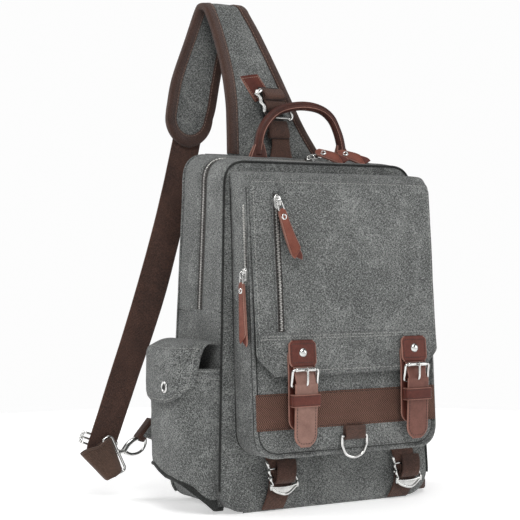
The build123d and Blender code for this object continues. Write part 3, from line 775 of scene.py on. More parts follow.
f, b = loop_rows(right_low, left_low)
base = Sheet(f + [0, 0, 0.6], b + [0, 0, 0.6], CANVAS_THICK, 30, 1, gusset_shape(1, 0.2, 1.0, 0.1, 2.0))
base.build("base_canvas", CANVAS, "bag", ["base_panel"], "canvas")
for side, k0, k1 in (("left", left_low, left_zip), ("right", right_zip, right_low)):
    f, b = loop_rows(k0, k1)
    gusset = Sheet(f, b, CANVAS_THICK, 34, 1, gusset_shape(2 if side == "left" else 4, 2.2, 1.6, 1.3))
    gusset.build(f"side_canvas_{side}", CANVAS, "bag", [f"side_gusset_{side}"], "canvas")

f, b = loop_rows(left_zip, right_zip)
zip_front_edge, zip_back_edge = at_depth(f, b, ZIP_Y - 6.0), at_depth(f, b, ZIP_Y + 6.0)
front_strip = Sheet(f, zip_front_edge, CANVAS_THICK, 16, 1, gusset_shape(6, 1.4, 1.2, 0.7))
front_strip.build("zip_canvas_front", CANVAS, "bag", ["zip_gusset_front"], "canvas")
back_strip = Sheet(zip_back_edge, b, CANVAS_THICK, 16, 1, gusset_shape(8, 1.4, 1.2, 0.7))
back_strip.build("zip_canvas_back", CANVAS, "bag", ["zip_gusset_back"], "canvas")
tape_sheet = Sheet(
    at_depth(f, b, ZIP_Y - 7.5), at_depth(f, b, ZIP_Y + 7.5), 1.2, 8, 1, lambda u, v, w, p: -1.6 + 0 * u,
)
tape_sheet.build("main_zip_tape", TAPE, "bag", ["main_zip_chain"], "zip_tape")
zip_line, zip_normals = tape_sheet.lengthwise(7.5)
teeth("main_zip_teeth", zip_line, zip_normals, TEETH, "bag", 1.9, 2.9, 1.5, slot="hardware")
stitches(
    "main_zip_stitches",
    [front_strip.lengthwise(-2.6, 0.1), back_strip.lengthwise(2.6, 0.1)],
    THREAD_GREY,
    "bag",
)
for side, k, out in (("left", 0, -0.8), ("right", -1, 0.8)):
    end_line = np.linspace(f[k], b[k], 30) + [out, 0, 0]
    tube(f"zip_end_seam_{side}", end_line, 0.9, CANVAS_DARK, "bag", flat=(1, 0.7))


def panel_rows(height):
    """Heights for a panel's rows, closer together round its corners."""
    return np.concatenate([
        LOW_CORNER * (1 - np.cos(quarter(14))),
        np.linspace(LOW_CORNER, height - HIGH_CORNER, int((height - LOW_CORNER - HIGH_CORNER) / 3.2))[1:],
        height - HIGH_CORNER + HIGH_CORNER * np.sin(quarter(14))[1:],
    ])


def corner_cut(past, radius):
    """How much narrower a rounded corner makes a panel at a distance past where it starts."""
    past = np.clip(past, 0, radius)
    return np.where(past > 0, radius - np.sqrt(np.maximum(radius**2 - past**2, 0)), 0)


def panel_half(z, height):
    half = BASE_HALF - (BASE_HALF - TOP_HALF) * z / height
    return half - corner_cut(LOW_CORNER - z, LOW_CORNER) - corner_cut(z - (height - HIGH_CORNER), HIGH_CORNER)


def front_shape(u, v, w, p):
    edge = np.minimum(np.minimum(u, w - u), np.minimum(v, v[-1, 0] - v))
    puff = 2.6 * (1 - np.exp(-edge / 7)) - 2.4
    waves = 0.8 * wobble(p, 0.02, 11) * (1 - np.exp(-edge / 10))
    return puff + waves + 0.3 * wobble(p, 0.14, 12, 2) * np.exp(-edge / 9)


zs = panel_rows(FRONT_HIGH)
front = Sheet(*mirrored(0, panel_half(zs, FRONT_HIGH), y_front(zs), zs), CANVAS_THICK, 84, -1, front_shape)
front.build("front_canvas", CANVAS, "bag", ["front_panel"], "canvas")

def back_shape(u, v, w, p):
    x, z = p[..., 0], p[..., 2]
    edge = np.minimum(np.minimum(u, w - u), np.minimum(v, v[-1, 0] - v))
    pad = 5.0 * (1 - np.exp(-np.maximum(edge - 6, 0) / 8))
    groove = 3.2 * np.exp(-((x / 5) ** 2)) * (z < 320)
    for level in (110.0, 215.0, 320.0):
        groove = groove + 3.0 * np.exp(-((z - level - 0.12 * np.abs(x)) / 4.5) ** 2) * (np.abs(x) < 96)
    return 3.0 + pad - np.minimum(groove, 3.6) * (edge > 8) + 0.5 * wobble(p, 0.03, 21)


zs = panel_rows(BACK_HIGH)
back = Sheet(*mirrored(0, panel_half(zs, BACK_HIGH), y_back(zs), zs), 4.0, 84, 1, back_shape)
back.build("back_pad", AIR_MESH, "bag", ["back_panel"], "mesh")

centre = arr([0, 0, 190])
for name, loop, foot, out, behind, radius, mat, replaced in (
    ("front_piping_cord", F, 24, 0.2, 0.4, 1.35, CANVAS_DARK, ["front_piping"]),
    ("back_binding", B, 8, -0.4, 0.9, 1.6, CANVAS, ()),
):
    line = at_index(loop, np.linspace(loop_index(foot, True), loop_index(foot, False), 420))
    outward = unit((line - centre) * [1, 0, 1])
    tube(name, line + outward * out + [0, behind, 0], radius, mat, "bag", replaced, "piping")


# --- front pocket ---
def pocket_y(z):
    return -101.9 + 21.9 * np.asarray(z) / POCKET_TOP


corner_top = POCKET_FOOT + POCKET_CORNER
corner_zs = POCKET_FOOT + POCKET_CORNER * (1 - np.cos(quarter(14)))
pocket_zs = np.concatenate([corner_zs, np.linspace(corner_top, POCKET_TOP, 80)[1:]])
pocket_half = POCKET_HALF - corner_cut(corner_top - pocket_zs, POCKET_CORNER)


def pocket_shape(u, v, w, p):
    edge = np.minimum(np.minimum(u, w - u), v)
    puff = 2.2 * (1 - np.exp(-edge / 9)) - 2.6
    waves = 0.8 * wobble(p, 0.022, 31) * (1 - np.exp(-edge / 9))
    return puff + waves + 0.3 * wobble(p, 0.15, 32, 2) * np.exp(-edge / 10)


pocket_edges = mirrored(0, pocket_half, pocket_y(pocket_zs), pocket_zs)
pocket = Sheet(*pocket_edges, CANVAS_THICK, 76, -1, pocket_shape)
pocket.build("pocket_front_canvas", CANVAS, "bag", ["pocket_front"], "canvas")

u_corners = [
    (side * POCKET_HALF, z)
    for side, z in ((-1, POCKET_TOP), (-1, POCKET_FOOT), (1, POCKET_FOOT), (1, POCKET_TOP))
]
u_x, u_z = resample(rounded(u_corners, [0, POCKET_CORNER, POCKET_CORNER, 0], steps=14), 3.0).T
near = xyz(u_x, pocket_y(u_z), u_z)
far = xyz(u_x, y_front(u_z) + 1.0, u_z)
near = np.vstack([near[0] + [0, 0.4, 3.0], near, near[-1] + [0, 0.4, 3.0]])
far = np.vstack([far[0] + [0, 0, 12.0], far, far[-1] + [0, 0, 12.0]])
pocket_side = Sheet(near, far, CANVAS_THICK, 16, -1, gusset_shape(34, 1.6, 1.2, 0.8, 1.5))
pocket_side.build("pocket_side_canvas", CANVAS, "bag", ["pocket_gusset"], "canvas")
tube("pocket_seam_roll", near[1:-1] + [0, 0.4, 0], 1.9, CANVAS, "bag", slot="canvas")
tube("pocket_seam_shadow", near[1:-1] + [0, 3.0, 0], 1.5, CANVAS_DARK, "bag", slot="canvas")
# Thin near-black tube just inside the pocket front's outline: a painted shadow line above the rolled seam.
shadow_line_points, _ = pocket.border(3.4, -0.35)
tube("pocket_front_shadow_line", shadow_line_points[:-1], 0.75, CANVAS_DARK, "bag", slot="canvas", closed=True, segs=6)
tube("pocket_foot_seam", far + [0, -1.8, 0], 1.2, CANVAS_DARK, "bag", slot="canvas")
stitches(
    "pocket_stitches",
    [
        pocket_side.lengthwise(-4.0, 0.1),
        pocket.border(4.0, 0.1),
    ],
    THREAD_GREY,
    "bag",
)

band_xs = np.linspace(-114.5, 114.5, 90)


band = Sheet(
    *(xyz(band_xs, pocket_y(z) - 0.9, z) for z in (90.0, 128.0)), 1.5, 24, 1,
    ripple(0.25, 0.03, 41, rest=0.5),
)
band.build("pocket_band_webbing", HERRINGBONE, "bag", ["pocket_band"], "webbing")
band_seams = [band.run([(u, 1), (u, 228)], 0.1) for u in (1.8, 36.2)]
stitches("band_stitches", band_seams, THREAD_DARK, "bag")


# --- flap ---
FLAP_LINE = [(-42.0, 360.6), (-72.0, 359.0), (-84.0, 345.0), (-97.2, 189.0), (-101.0, 148.0)]
flap_path = resample(rounded(FLAP_LINE, [0, 14, 14, 60, 0]), 2.6)
flap_y, flap_z = flap_path.T
flap_len = along(flap_path)
chamfer = np.clip((148 + 20 - flap_z) / 20, 0, 1)
flap_half = FLAP_HALF - 20 * np.where(chamfer > 0, chamfer**1.15, 0)


def flap_shape(u, v, w, p):
    edge = np.minimum(np.minimum(u, w - u), v[-1, 0] - v)
    hang = np.clip(v / v[-1, 0], 0, 1)
    fold = 1.3 * wobble(p, 0.013, 51) + 0.5 * wobble(p, 0.05, 52, 2)
    roll = 1.2 * (1 - np.exp(-edge / 6)) - 0.9
    seam = -0.8 * np.exp(-((v - yoke_v) / 1.1) ** 2) + 0.5 * np.exp(-((v - yoke_v + 3.0) / 2.2) ** 2)
    slot_line = -1.0 * np.exp(-((u - zip_u) / 4.2) ** 2) * (v > zip_v0) * (v < zip_v1)
    return roll + fold * (0.25 + 0.75 * hang) * (1 - np.exp(-v / 20)) + seam + slot_line


def v_at_height(path, z):
    """Distance along a falling path at which it reaches a height."""
    s = along(path)
    order = np.argsort(path[:, 1])
    return float(np.interp(z, path[order, 1], s[order]))


yoke_v = v_at_height(flap_path[4:], 346.0) + along(flap_path)[4]
zip_v0, zip_v1 = v_at_height(flap_path, 337.0), v_at_height(flap_path, 193.0)
zip_u = FLAP_HALF - 86.0
flap = Sheet(*mirrored(0, flap_half, flap_y, flap_z), 3.5, 90, 1, flap_shape)
flap_piece = flap.build("flap_canvas", CANVAS, None, ["flap_panel"], "canvas")
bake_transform(flap_piece)

cheek_ys = np.linspace(-43, -82.5, 24)
flap_order = np.argsort(flap_y)
cheek_top = np.interp(cheek_ys, flap_y[flap_order], flap_z[flap_order]) - 1.2
for side, x in (("left", -115.2), ("right", 115.2)):
    cheek = Sheet(xyz(x, cheek_ys, 343.5), xyz(x, cheek_ys, cheek_top), 2.4, 8, 1, ripple(0.3, 0.05, 55, 2))
    cheek.build(f"pocket_cheek_{side}", CANVAS, "bag", slot="canvas")

hem_v0 = v_at_height(flap_path, 190.0)
hem_vs = flap_len[flap_len >= hem_v0 - 1.0]
hem_normal = unit(arr([0, -1.0, -0.05]))


def hem_shape(u, v, w, p):
    grid = flap.at((u * 0.995 + 0.6).ravel(), (v + hem_vs[0]).ravel(), 0.4)[0].reshape(p.shape)
    return ((grid - p) * hem_normal).sum(-1)


hem = Sheet(flap.at(0.6, hem_vs, 0.15)[0], flap.at(-0.6, hem_vs, 0.15)[0], 1.3, 90, 1, hem_shape)
hem.build("flap_hem_canvas", CANVAS, "flap", ["flap_hem"], "canvas")
hem_total = hem.v[-1]
stitches(
    "flap_stitches",
    [
        *(
            hem.run([(u0, v), (u1, v)], 0.12)
            for u0, u1, v in ((3, 227, 1.6), (3, 227, 4.6), (22, 210, hem_total - 3.5))
        ),
        *(hem.run([(u, 3), (u, hem_total - 18)], 0.12) for u in (3.2, 230.8 - 3.2)),
        flap.run([(2.5, yoke_v - 3.0), (229.5, yoke_v - 3.0)], 0.1),
        *(flap.run([(u, yoke_v + 3), (u, hem_v0)], 0.1) for u in (3.2, 228.8)),
    ],
    THREAD_PALE,
    "flap",
    radius=0.3,
)
yoke_line, _ = flap.run([(0.4, yoke_v), (231.6, yoke_v)], 0.1)
tube("flap_yoke_seam", yoke_line, 0.75, CANVAS_DARK, "flap", slot="canvas", segs=6)
stitches(
    "flap_zip_stitches",
    [flap.run([(u, zip_v0 - 2), (u, hem_v0)], 0.1) for u in (zip_u - 6.5, zip_u + 6.5)],
    THREAD_GREY,
    "flap",
)

# Flap zip: tape sunk in its slot, rolled canvas lips and a column of teeth.
zip_vs = np.linspace(zip_v0, zip_v1, 60)
flap_tape = Sheet(*(flap.at(zip_u + out, zip_vs, 0.1)[0] for out in (-4.6, 4.6)), 0.9, 8, 1)
flap_tape.build("flap_zip_tape", TAPE, "flap", ["flap_zip_chain"], "zip_tape")
line, normals = flap_tape.lengthwise(4.6)
teeth("flap_zip_teeth", line, normals, TEETH, "flap", *SMALL_TEETH, slot="hardware")
for k, u in enumerate((zip_u - 4.8, zip_u + 4.8)):
    tube(f"flap_zip_lip_{k}", flap.at(u, zip_vs, 0.2)[0], 1.1, CANVAS, "flap", slot="canvas")


# --- zip sliders and pulls ---
def basis(origin, x_dir, z_dir):
    z = unit(arr(z_dir))
    x = unit(arr(x_dir) - z * (arr(x_dir) @ z))
    return arr(origin), x, np.cross(z, x), z


def placed(frame_of, points):
    o, x, y, z = frame_of
    p = arr(points)
    return o + p[..., :1] * x + p[..., 1:2] * y + p[..., 2:3] * z


def turned(frame_of, degrees):
    o, x, y, z = frame_of
    c, s = math.cos(math.radians(degrees)), math.sin(math.radians(degrees))
    return o, x * c + y * s, y * c - x * s, z


def flat_bar(frame_of, xs, halves, height, thick, cols=6):
    """Flat shape in a plane: x positions, half widths, height above the plane."""
    halves = arr(halves)
    return Sheet(*(placed(frame_of, xyz(xs, y, height)) for y in (-halves, halves)), thick, cols, 1)


def zip_slider(name, seat, turn, body, node):
    """Slider with a waisted cover, a lower plate and a bridge; its wire ring is made with the pull tab."""
    cover = flat_bar(seat, [-6.5, -5.5, -3.5, 0, 3, 5, 6.3], [2.6, 4.0, 4.4, 3.5, 3.2, 3.0, 2.2], 1.2, 1.6)
    lower = flat_bar(seat, [-6.0, -4, 0, 4, 6.0], [3.6, 4.2, 3.6, 3.3, 2.4], -0.3, 1.0)
    lumps = []
    for sheet_part in (cover, lower):
        index, quads = tube_faces(*sheet_part.rows.shape[:2])
        faces = quads.tolist() + [index[0][::-1].tolist(), index[-1].tolist()]
        uv = np.stack([sheet_part.us.ravel(), sheet_part.vs.ravel()], 1)
        lumps.append((sheet_part.rows.reshape(-1, 3), faces, uv))
    bridge = spline([(-4.5, 0, 1.6), (-3.6, 0, 4.6), (0, 0, 6.2), (3.6, 0, 5.0), (4.6, 0, 1.8)], 6)
    lumps.append(bar(placed(turned(seat, turn), bridge), 0.85, flat=(1.3, 1)))
    joined(name, lumps, CHROME, body, [node])


def pull_tab(name, seat, turn, length, body, node, droop=0.0, roll=0.0, rise=0.0):
    """Wire ring through the slider, then two layers of leather held by an eyelet."""
    plane = turned(seat, turn)
    h = 4.5
    if roll:
        o, x, y, z = plane
        c, s = math.cos(math.radians(roll)), math.sin(math.radians(roll))
        tilted = z * c - y * s
        plane = (o + z * h - tilted * h, x, y * c + z * s, tilted)
    ring = rounded([(-1.2, -2.9, h), (9.5, -3.6, h + 0.4), (9.5, 3.6, h + 0.4), (-1.2, 2.9, h)], 2.4, True, 6)
    tube(f"{name}_ring", placed(plane, ring), 0.75, CHROME, body, [node], "hardware", closed=True)
    reach = length + 15.0
    tip = [reach - 5, reach - 3, reach - 1.2, reach]
    xs = np.concatenate([8.2 + 2.2 * (1 - np.cos(quarter(5))), np.linspace(10.4, reach - 7, 14)[1:], tip])
    grow = np.clip((xs - 8.2) / (reach - 8.2), 0, 1)
    halves = 4.3 + 2.9 * grow**0.8
    halves = halves * np.where(xs < 10.4, 0.55 + 0.45 * np.clip((xs - 8.2) / 2.2, 0, 1), 1)
    halves = halves * np.where(xs > reach - 5, 1 - 0.35 * np.clip((xs - reach + 5) / 5, 0, 1) ** 2.5, 1)
    slant = 7.0 * np.clip((grow - 0.55) / 0.45, 0, 1) ** 1.3
    for layer, (lift, mat, extra) in enumerate(((h - 0.9, LEATHER, 3.0), (h + 0.9, LEATHER_PULL, 0.0))):
        stretch = 1 + extra / length
        x = 8.2 + (xs - 8.2) * stretch
        bend = lift - droop * ((x - 8) / 40) ** 2 + rise * (1 - (x - 8) / (reach - 8))
        a = placed(plane, xyz(x - slant * (1 - layer), -halves, bend))
        b = placed(plane, xyz(x - slant * layer, halves, bend))
        tab = Sheet(a, b, 1.7, 8, 1, domed(0.25))
        tab.build(f"{name}_leather_{layer}", [mat, EDGE], body, slot="leather")
        if layer:
            stitches(f"{name}_stitches", [tab.border(1.5, 0.02, 8.0)], THREAD_DARK, body, 1.8, 0.8, 0.22)
    eye = placed(plane, [[16.5, 0, h + 1.7 + rise * (1 - 8.5 / (reach - 8))]])[0]
    rim = lathe(eye, plane[3], [(1.7, -0.2), (1.65, 0.5), (2.0, 0.95), (2.8, 0.9), (3.4, 0.4), (3.5, -0.3)])
    joined(f"{name}_eyelet", [(rim[0], rim[1][:-2], rim[2])], CHROME, body)
    # Near-black disc inside the eyelet: painted shade.
    hole = [(1.85, 0.05), (1.8, 0.25), (0.4, 0.26)]
    turned_piece(f"{name}_eyelet_hole", eye, plane[3], hole, HOLE_SHADE, body, segs=20)


flap_down = unit(arr([0, -13.2, -156.0]))
flap_out = unit(np.cross(flap_down, [1, 0, 0]))


def flap_seat(z):
    share = (345 - z) / 156
    return basis(arr([-86, -84 - 13.2 * share, z]) + flap_out * 3.8, flap_down, flap_out)


zip_slider("flap_slider_body", flap_seat(328), 16, "flap_slider", "flap_slider")
pull_tab("flap_pull_tab", flap_seat(328), 16, 46, "flap_pull", "flap_pull", -3.0)

pocket_up = unit(arr([0, 21.9, 345.0]))


def pocket_zip_at(z, out):
    return xyz(-POCKET_HALF - out, pocket_y(z) + 9, z)


zip_zs = np.linspace(326, 240, 50)
pocket_tape = Sheet(*(pocket_zip_at(zip_zs, 0.4) + [0, y, 0] for y in (-4.6, 4.6)), 0.9, 8, -1)
pocket_tape.build("pocket_zip_tape", TAPE, "bag", ["pocket_zip_chain"], "zip_tape")
line, normals = pocket_tape.lengthwise(4.6)
teeth("pocket_zip_teeth", line, normals, TEETH, "bag", *SMALL_TEETH, slot="hardware")
for k, shift in enumerate((-5.2, 5.2)):
    tube(f"pocket_zip_lip_{k}", pocket_zip_at(zip_zs, 0.5) + [0, shift, 0], 1.2, CANVAS, "bag", slot="canvas")
pocket_seat = basis(pocket_zip_at(252, 2.0), -pocket_up, (-1, 0, 0))
zip_slider("pocket_slider_body", pocket_seat, 0, "pocket_slider", "pocket_slider")
pull_tab("pocket_pull_tab", pocket_seat, 0, 56, "pocket_pull", "pocket_pull")

top_along = unit(arr([0, TOP_DEPTH, BACK_HIGH - FRONT_HIGH]))
top_normal = np.cross([1, 0, 0], top_along)
for side, x in (("left", 16.0), ("right", 46.0)):
    seat = basis(arr([x, ZIP_Y, top_z(ZIP_Y)]) + top_normal, (1, 0, 0), top_normal)
    zip_slider(f"main_slider_body_{side}", seat, -52, f"main_slider_{side}", f"main_slider_{side}")
    pull_tab(f"main_pull_tab_{side}", seat, -52, 24, f"main_pull_{side}", f"main_pull_{side}", 3.5, 46, 9.0)


# --- satchel straps ---
STRAP_LINE = [(-104.8, 183.0), (-107.6, 156.0), (-114.4, 139.0), (-114.4, 128.0), (-112.5, 72.0)]
strap_path = resample(rounded(STRAP_LINE, [0, 8, 4, 4, 0], steps=6), 0.8)


def round_rect(z, top, bottom, half, radius):
    """Half width of a rounded rectangle at heights."""
    z = np.asarray(z, float)
    d = np.minimum(top - z, z - bottom)
    cut = np.clip(radius - d, 0, radius)
    return np.where(d < 0, 0.2, half - (radius - np.sqrt(np.maximum(radius**2 - cut**2, 0))))


def strap_part(x, z_top, z_bottom, half_of, thick=2.2, lift=0.0):
    path = strap_path[(strap_path[:, 1] <= z_top + 0.01) & (strap_path[:, 1] >= z_bottom - 0.01)]
    dome = domed(0.3)

    def shape(u, v, w, p):
        return lift + dome(u, v, w, p) + 0.12 * wobble(p, 0.09, x, 2)

    return Sheet(*mirrored(x, half_of(path[:, 1]), *path.T), thick, 14, 1, shape)


STRAP_EDGES = [LEATHER, EDGE]
LEATHER_SEAM = (2.2, 0.9, 0.36)
SNAP_Z = 104
for side, x in STRAP_XS.items():
    first = side == "left"
    # The left strap's neck and tail take the paler leather as painted sheen; the right strap keeps the plain
    # red tail leather.
    tail_mats = [LEATHER_TAIL_SHEEN if first else LEATHER_TAIL, EDGE]
    tab = strap_part(x, 183, 157, lambda z: round_rect(z, 183.2, 156.8, 17, 5), 2.4, 0.3)
    tab.build(f"strap_tab_{side}", STRAP_EDGES, "flap", [f"strap_{side}"], "leather")
    stitches(f"strap_tab_stitches_{side}", [tab.border(3.0, 0.08)], THREAD_DARK, "flap", *LEATHER_SEAM)
    neck = strap_part(x, 160, 137, lambda z: 12 + 0 * z, 2.0, -0.6)
    neck.build(f"strap_neck_{side}", tail_mats, "flap", slot="leather")
    tail = strap_part(x, 138.5, 72.9, lambda z: round_rect(z, 150.0, 72.2, 14, 13.9), 2.2)
    tail.build(f"strap_tail_{side}", tail_mats, "flap", slot="leather")
    stitches(
        f"strap_tail_stitches_{side}", [tail.border(2.7, 0.08, 13.0)], THREAD_DARK, "flap", 2.2, 0.9,
        0.36,
    )
    # Near-black disc in the prong slot: painted shade.
    hole = [(2.0, -0.2), (1.9, 0.05), (0.3, 0.08)]
    turned_piece(
        f"strap_slot_{side}", (x, -115.4, 137.4), FRONTWARDS, hole, HOLE_SHADE, "flap", segs=20,
    )
    base_path = resample(rounded([(-102.7, 178.0), (-105.3, 150.0), (-106.3, 90.0)], [0, 20, 0]), 1.2)
    halves = round_rect(base_path[:, 1], 178.2, 89.8, 17, 12)
    under = Sheet(*mirrored(x, halves, *base_path.T), 2.0, 14, 1, ripple(0.1, 0.08, x, 2))
    under.build(f"strap_base_leather_{side}", STRAP_EDGES, "flap", [f"strap_base_{side}"], "leather")
    stitches(f"strap_base_stitches_{side}", [under.border(2.4, 0.05)], THREAD_DARK, "flap", 2.0, 0.8, 0.28)
    # Roller buckle: rounded frame, roller sleeve and prong.
    low_bar, high_bar = (-109.9, 136), (-112.9, 153.5)
    loop = [(x - 15.6, *low_bar), (x + 15.6, *low_bar), (x + 15.6, *high_bar), (x - 15.6, *high_bar)]
    tube(
        f"buckle_frame_{side}", rounded(loop, 2.6, True, 6), 1.45, CHROME, "flap", [f"buckle_{side}"],
        "hardware", closed=True,
    )
    roller = np.linspace((x - 12.6, *high_bar), (x + 12.6, *high_bar), 12)
    tube(f"buckle_roller_{side}", roller, 2.25, CHROME, "flap", slot="hardware", segs=20)
    eye_turn = np.linspace(0, TAU, 20)[:-1]
    eye_ring = xyz(x, low_bar[0] + 2.0 * np.cos(eye_turn), low_bar[1] + 2.0 * np.sin(eye_turn))
    tube(
        f"prong_eye_{side}", eye_ring, 1.0, CHROME, f"prong_{side}", [f"prong_{side}"], "hardware",
        closed=True,
    )
    blade = spline(
        [(x, -111.6, 136.2), (x, -115.2, 137.4), (x, -117.0, 141), (x, -117.2, 149), (x, -116.6, 156.5)],
        8,
    )
    widths = np.interp(np.arange(len(blade)), [0, 6, len(blade) - 6, len(blade) - 1], [1.2, 1.5, 1.35, 0.6])
    tube(f"prong_blade_{side}", blade, widths, CHROME, f"prong_{side}", slot="hardware")
    # Keeper loop.
    turn = rounded([(x - 17, -118), (x + 17, -118), (x + 17, -107.2), (x - 17, -107.2)], 3.2, True, 6)
    turn = np.vstack([turn, turn[:1]])
    inner_x, inner_y = (arr([x, -112.6]) + (turn - [x, -112.6]) * [0.955, 0.85]).T
    keeper = Sheet(
        xyz(inner_x, inner_y, 128), xyz(inner_x, inner_y, 115), 1.7, 10, -1, domed(0.25),
        round_ends=False,
    )
    keeper.build(f"keeper_{side}", STRAP_EDGES, "flap", ["strap_keepers"], "leather")
    keeper_seams = [keeper.lengthwise(u, 0.05) for u in (2.0, -2.0)]
    stitches(f"keeper_stitches_{side}", keeper_seams, THREAD_DARK, "flap", 1.9, 0.8, 0.26)
    # Dome rivet.
    dome = [(4.9, 0.0), (4.9, 0.5), (4.4, 1.1), (3.4, 1.9), (2.2, 2.4), (1.0, 2.6), (0.2, 2.62)]
    rivet_node = ["strap_rivets"] if first else ()
    turned_piece(f"rivet_{side}", (x, -107.6, 171), (0, -1, 0.09), dome, CHROME, "flap", rivet_node)
    stud = [(6.3, 0.0), (6.5, 0.6), (6.5, 4.3), (5.8, 4.9), (0.4, 4.9)]
    stud_node = ["strap_snap_studs"] if first else ()
    turned_piece(f"snap_stud_{side}", (x, -99.9, SNAP_Z), FRONTWARDS, stud, CHROME, "flap", stud_node)
    socket = [(6.3, 0.0), (6.5, 0.4), (6.4, 1.6), (5.6, 2.2), (3.2, 2.1), (2.6, 1.2), (0.4, 1.1)]
    socket_at = (x, float(pocket_y(SNAP_Z)) - 2.1, SNAP_Z)
    turned_piece(
        f"snap_socket_{side}", socket_at, FRONTWARDS, socket, CHROME, "bag",
        ["snap_sockets"] if first else (),
    )

# --- D-ring ---
D_RING_X, D_RING_Z = 5, 79
ring_y = float(pocket_y(D_RING_Z)) - 3.1
ring_points = rounded(
    [(-16, 0), (16, 0), (16, -9), (11, -20), (0, -24), (-11, -20), (-16, -9)],
    [1.7, 1.7, 8, 10, 14, 10, 8], True, 8,
)
ring_wire = xyz(D_RING_X + ring_points[:, 0], ring_y, D_RING_Z + ring_points[:, 1])
tube("d_ring_wire", ring_wire, 1.65, CHROME, "d_ring", ["d_ring"], "hardware", closed=True)
tab_turn = [(-2.5, 89.5), (-2.9, 84), (-2.8, 79), (-1.6, 76.2), (0.4, 76.0), (1.6, 78.5), (1.8, 89.5)]
tab_path = spline([(ring_y + out, z) for out, z in tab_turn], 6)
ring_tab = Sheet(*mirrored(D_RING_X, 13, *tab_path.T), 1.5, 14, 1, ripple(0.15, 0.1, 61, 2))
ring_tab.build("d_ring_webbing", WEBBING, "bag", ["d_ring_tab"], "webbing")
stitches("d_ring_stitches", [ring_tab.run([(1, 3.2), (25, 3.2)], 0.1)], THREAD_DARK, "bag", 2.0, 0.8, 0.3)

# --- side pocket ---
PLAN = [(-127, -46.5), (-146, -46.5), (-171, -34), (-176, 0), (-172, 34), (-146, 48), (-126, 49)]
plan = resample(rounded(PLAN, [0, 16, 16, 60, 16, 16, 0], steps=8), 2.6)


def low_edge(x):
    return 3 + np.clip(-137 - x, 0, 100) * 47 / 53


def side_shape(u, v, w, p):
    x = np.clip(u / w, 0, 1)
    corner = np.exp(-(((p[..., 1] + 40) / 22) ** 2)) * np.exp(-((x - 0.1) / 0.25) ** 2)
    pucker = 1.6 * corner * np.sin(p[..., 2] * 0.42 + 2 * wobble(p, 0.05, 71, 2))
    hem = 0.7 / (1 + np.exp(-(u - (w - 12)) / 0.5))
    folds = 1.6 * wobble(p, 0.022, 72) + 0.6 * wobble(p, 0.07, 73, 2) * (1 - x)
    sag = 2.0 * np.sin(math.pi * np.clip(x, 0, 1)) ** 1.2
    return -1.4 + sag + (folds + pucker) * np.sin(math.pi * np.clip(x * 0.93, 0.02, 0.98)) ** 0.5 + hem


plan_x, plan_y = plan.T
behind = np.clip((plan_y + 8) / 30, 0, 1)
wall_low = low_edge(plan_x) * (1 - behind) + np.maximum(low_edge(plan_x), 46) * behind
wall_a = xyz(plan_x, plan_y, wall_low)
side_wall = Sheet(wall_a, xyz(plan_x, plan_y, 153), 2.4, 46, -1, side_shape)
side_wall.build("side_pocket_canvas", CANVAS, "bag", ["side_pocket"], "canvas")
inner_a = xyz(np.where(plan_x < -137, -133.0, plan_x), plan_y * 0.97, wall_low + 1.5)


def slope_shape(u, v, w, p):
    return -1.2 + 0.8 * wobble(p, 0.04, 74) * np.clip(np.minimum(u, w - u) / 6, 0, 1)


# The side pocket's underside is in the near-black canvas: painted shade.
under_slope = Sheet(inner_a, wall_a + [0, 0, 0.5], 2.4, 14, -1, slope_shape)
under_slope.build("side_pocket_underside", CANVAS_DARK, "bag", slot="canvas")
tube("side_pocket_piping", wall_a + [0, 0, 0.2], 1.7, CANVAS_DARK, "bag", slot="piping")
hem_seams = [side_wall.lengthwise(u, 0.1) for u in (-11.5, -2.5)]
stitches("side_pocket_stitches", hem_seams, THREAD_PALE, "bag", radius=FINE_THREAD)

side_line = resample(rounded([(-131.2, 178.8), (-143, 181), (-150, 168), (-150, 117)], [0, 9, 14, 0]), 1.2)
side_x, side_z = side_line.T
side_v = along(side_line)
hang = np.clip(side_v / 20, 0, 1)
front_y = np.interp(side_z, [117, 119, 122, 133, 150, 165, 179], [-20, -28, -34, -43, -45, -46, -46])
back_y = np.interp(side_z, [117, 120, 128, 140, 165, 179], [16, 26, 36, 42, 44, 44])
plan_order = np.argsort(plan_y)


def side_bulge(y):
    """How far the flap stands out to clear the pocket it covers."""
    return np.maximum(-np.interp(y, plan_y[plan_order], plan_x[plan_order]) + 6.5 - 150, 0)


def side_flap_shape(u, v, w, p):
    edge = np.minimum(u, w - u)
    return 0.8 * wobble(p, 0.03, 81) * np.clip(v / 15, 0, 1) + 0.8 * (1 - np.exp(-edge / 5)) - 0.4


side_flap = Sheet(xyz(side_x, front_y, side_z), xyz(side_x, back_y, side_z), 2.5, 36, -1, side_flap_shape)
row_hang = np.concatenate([hang[:1].repeat(3), hang, hang[-1:].repeat(3)])
side_flap.rows[..., 0] -= row_hang[:, None] * side_bulge(side_flap.rows[..., 1])
side_flap.outer[..., 0] -= hang[:, None] * side_bulge(side_flap.outer[..., 1])
side_flap.vs[:] = along(side_flap.rows[:, 18])[:, None]
side_flap_piece = side_flap.build("side_flap_canvas", CANVAS, None, ["side_flap"], "canvas")
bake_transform(side_flap_piece)
stitches("side_flap_stitches", [side_flap.border(2.6, 0.1, 16.0)], THREAD_PALE, "side_flap", radius=FINE_THREAD)
snap_point = side_flap.at(np.array([26.0]), np.array([v_at_height(side_line, 133.0)]))[0][0]
LEFTWARDS = (-1, 0, 0)
cap = [(6.6, 0.0), (6.6, 0.7), (6.0, 1.5), (4.6, 1.6), (3.9, 1.0), (3.4, 0.7), (2.0, 0.9), (0.3, 1.0)]
turned_piece(
    "side_snap_ring", snap_point + [0.4, 0, 0], LEFTWARDS, cap, CHROME, "side_flap", ["side_snap_cap"],
)
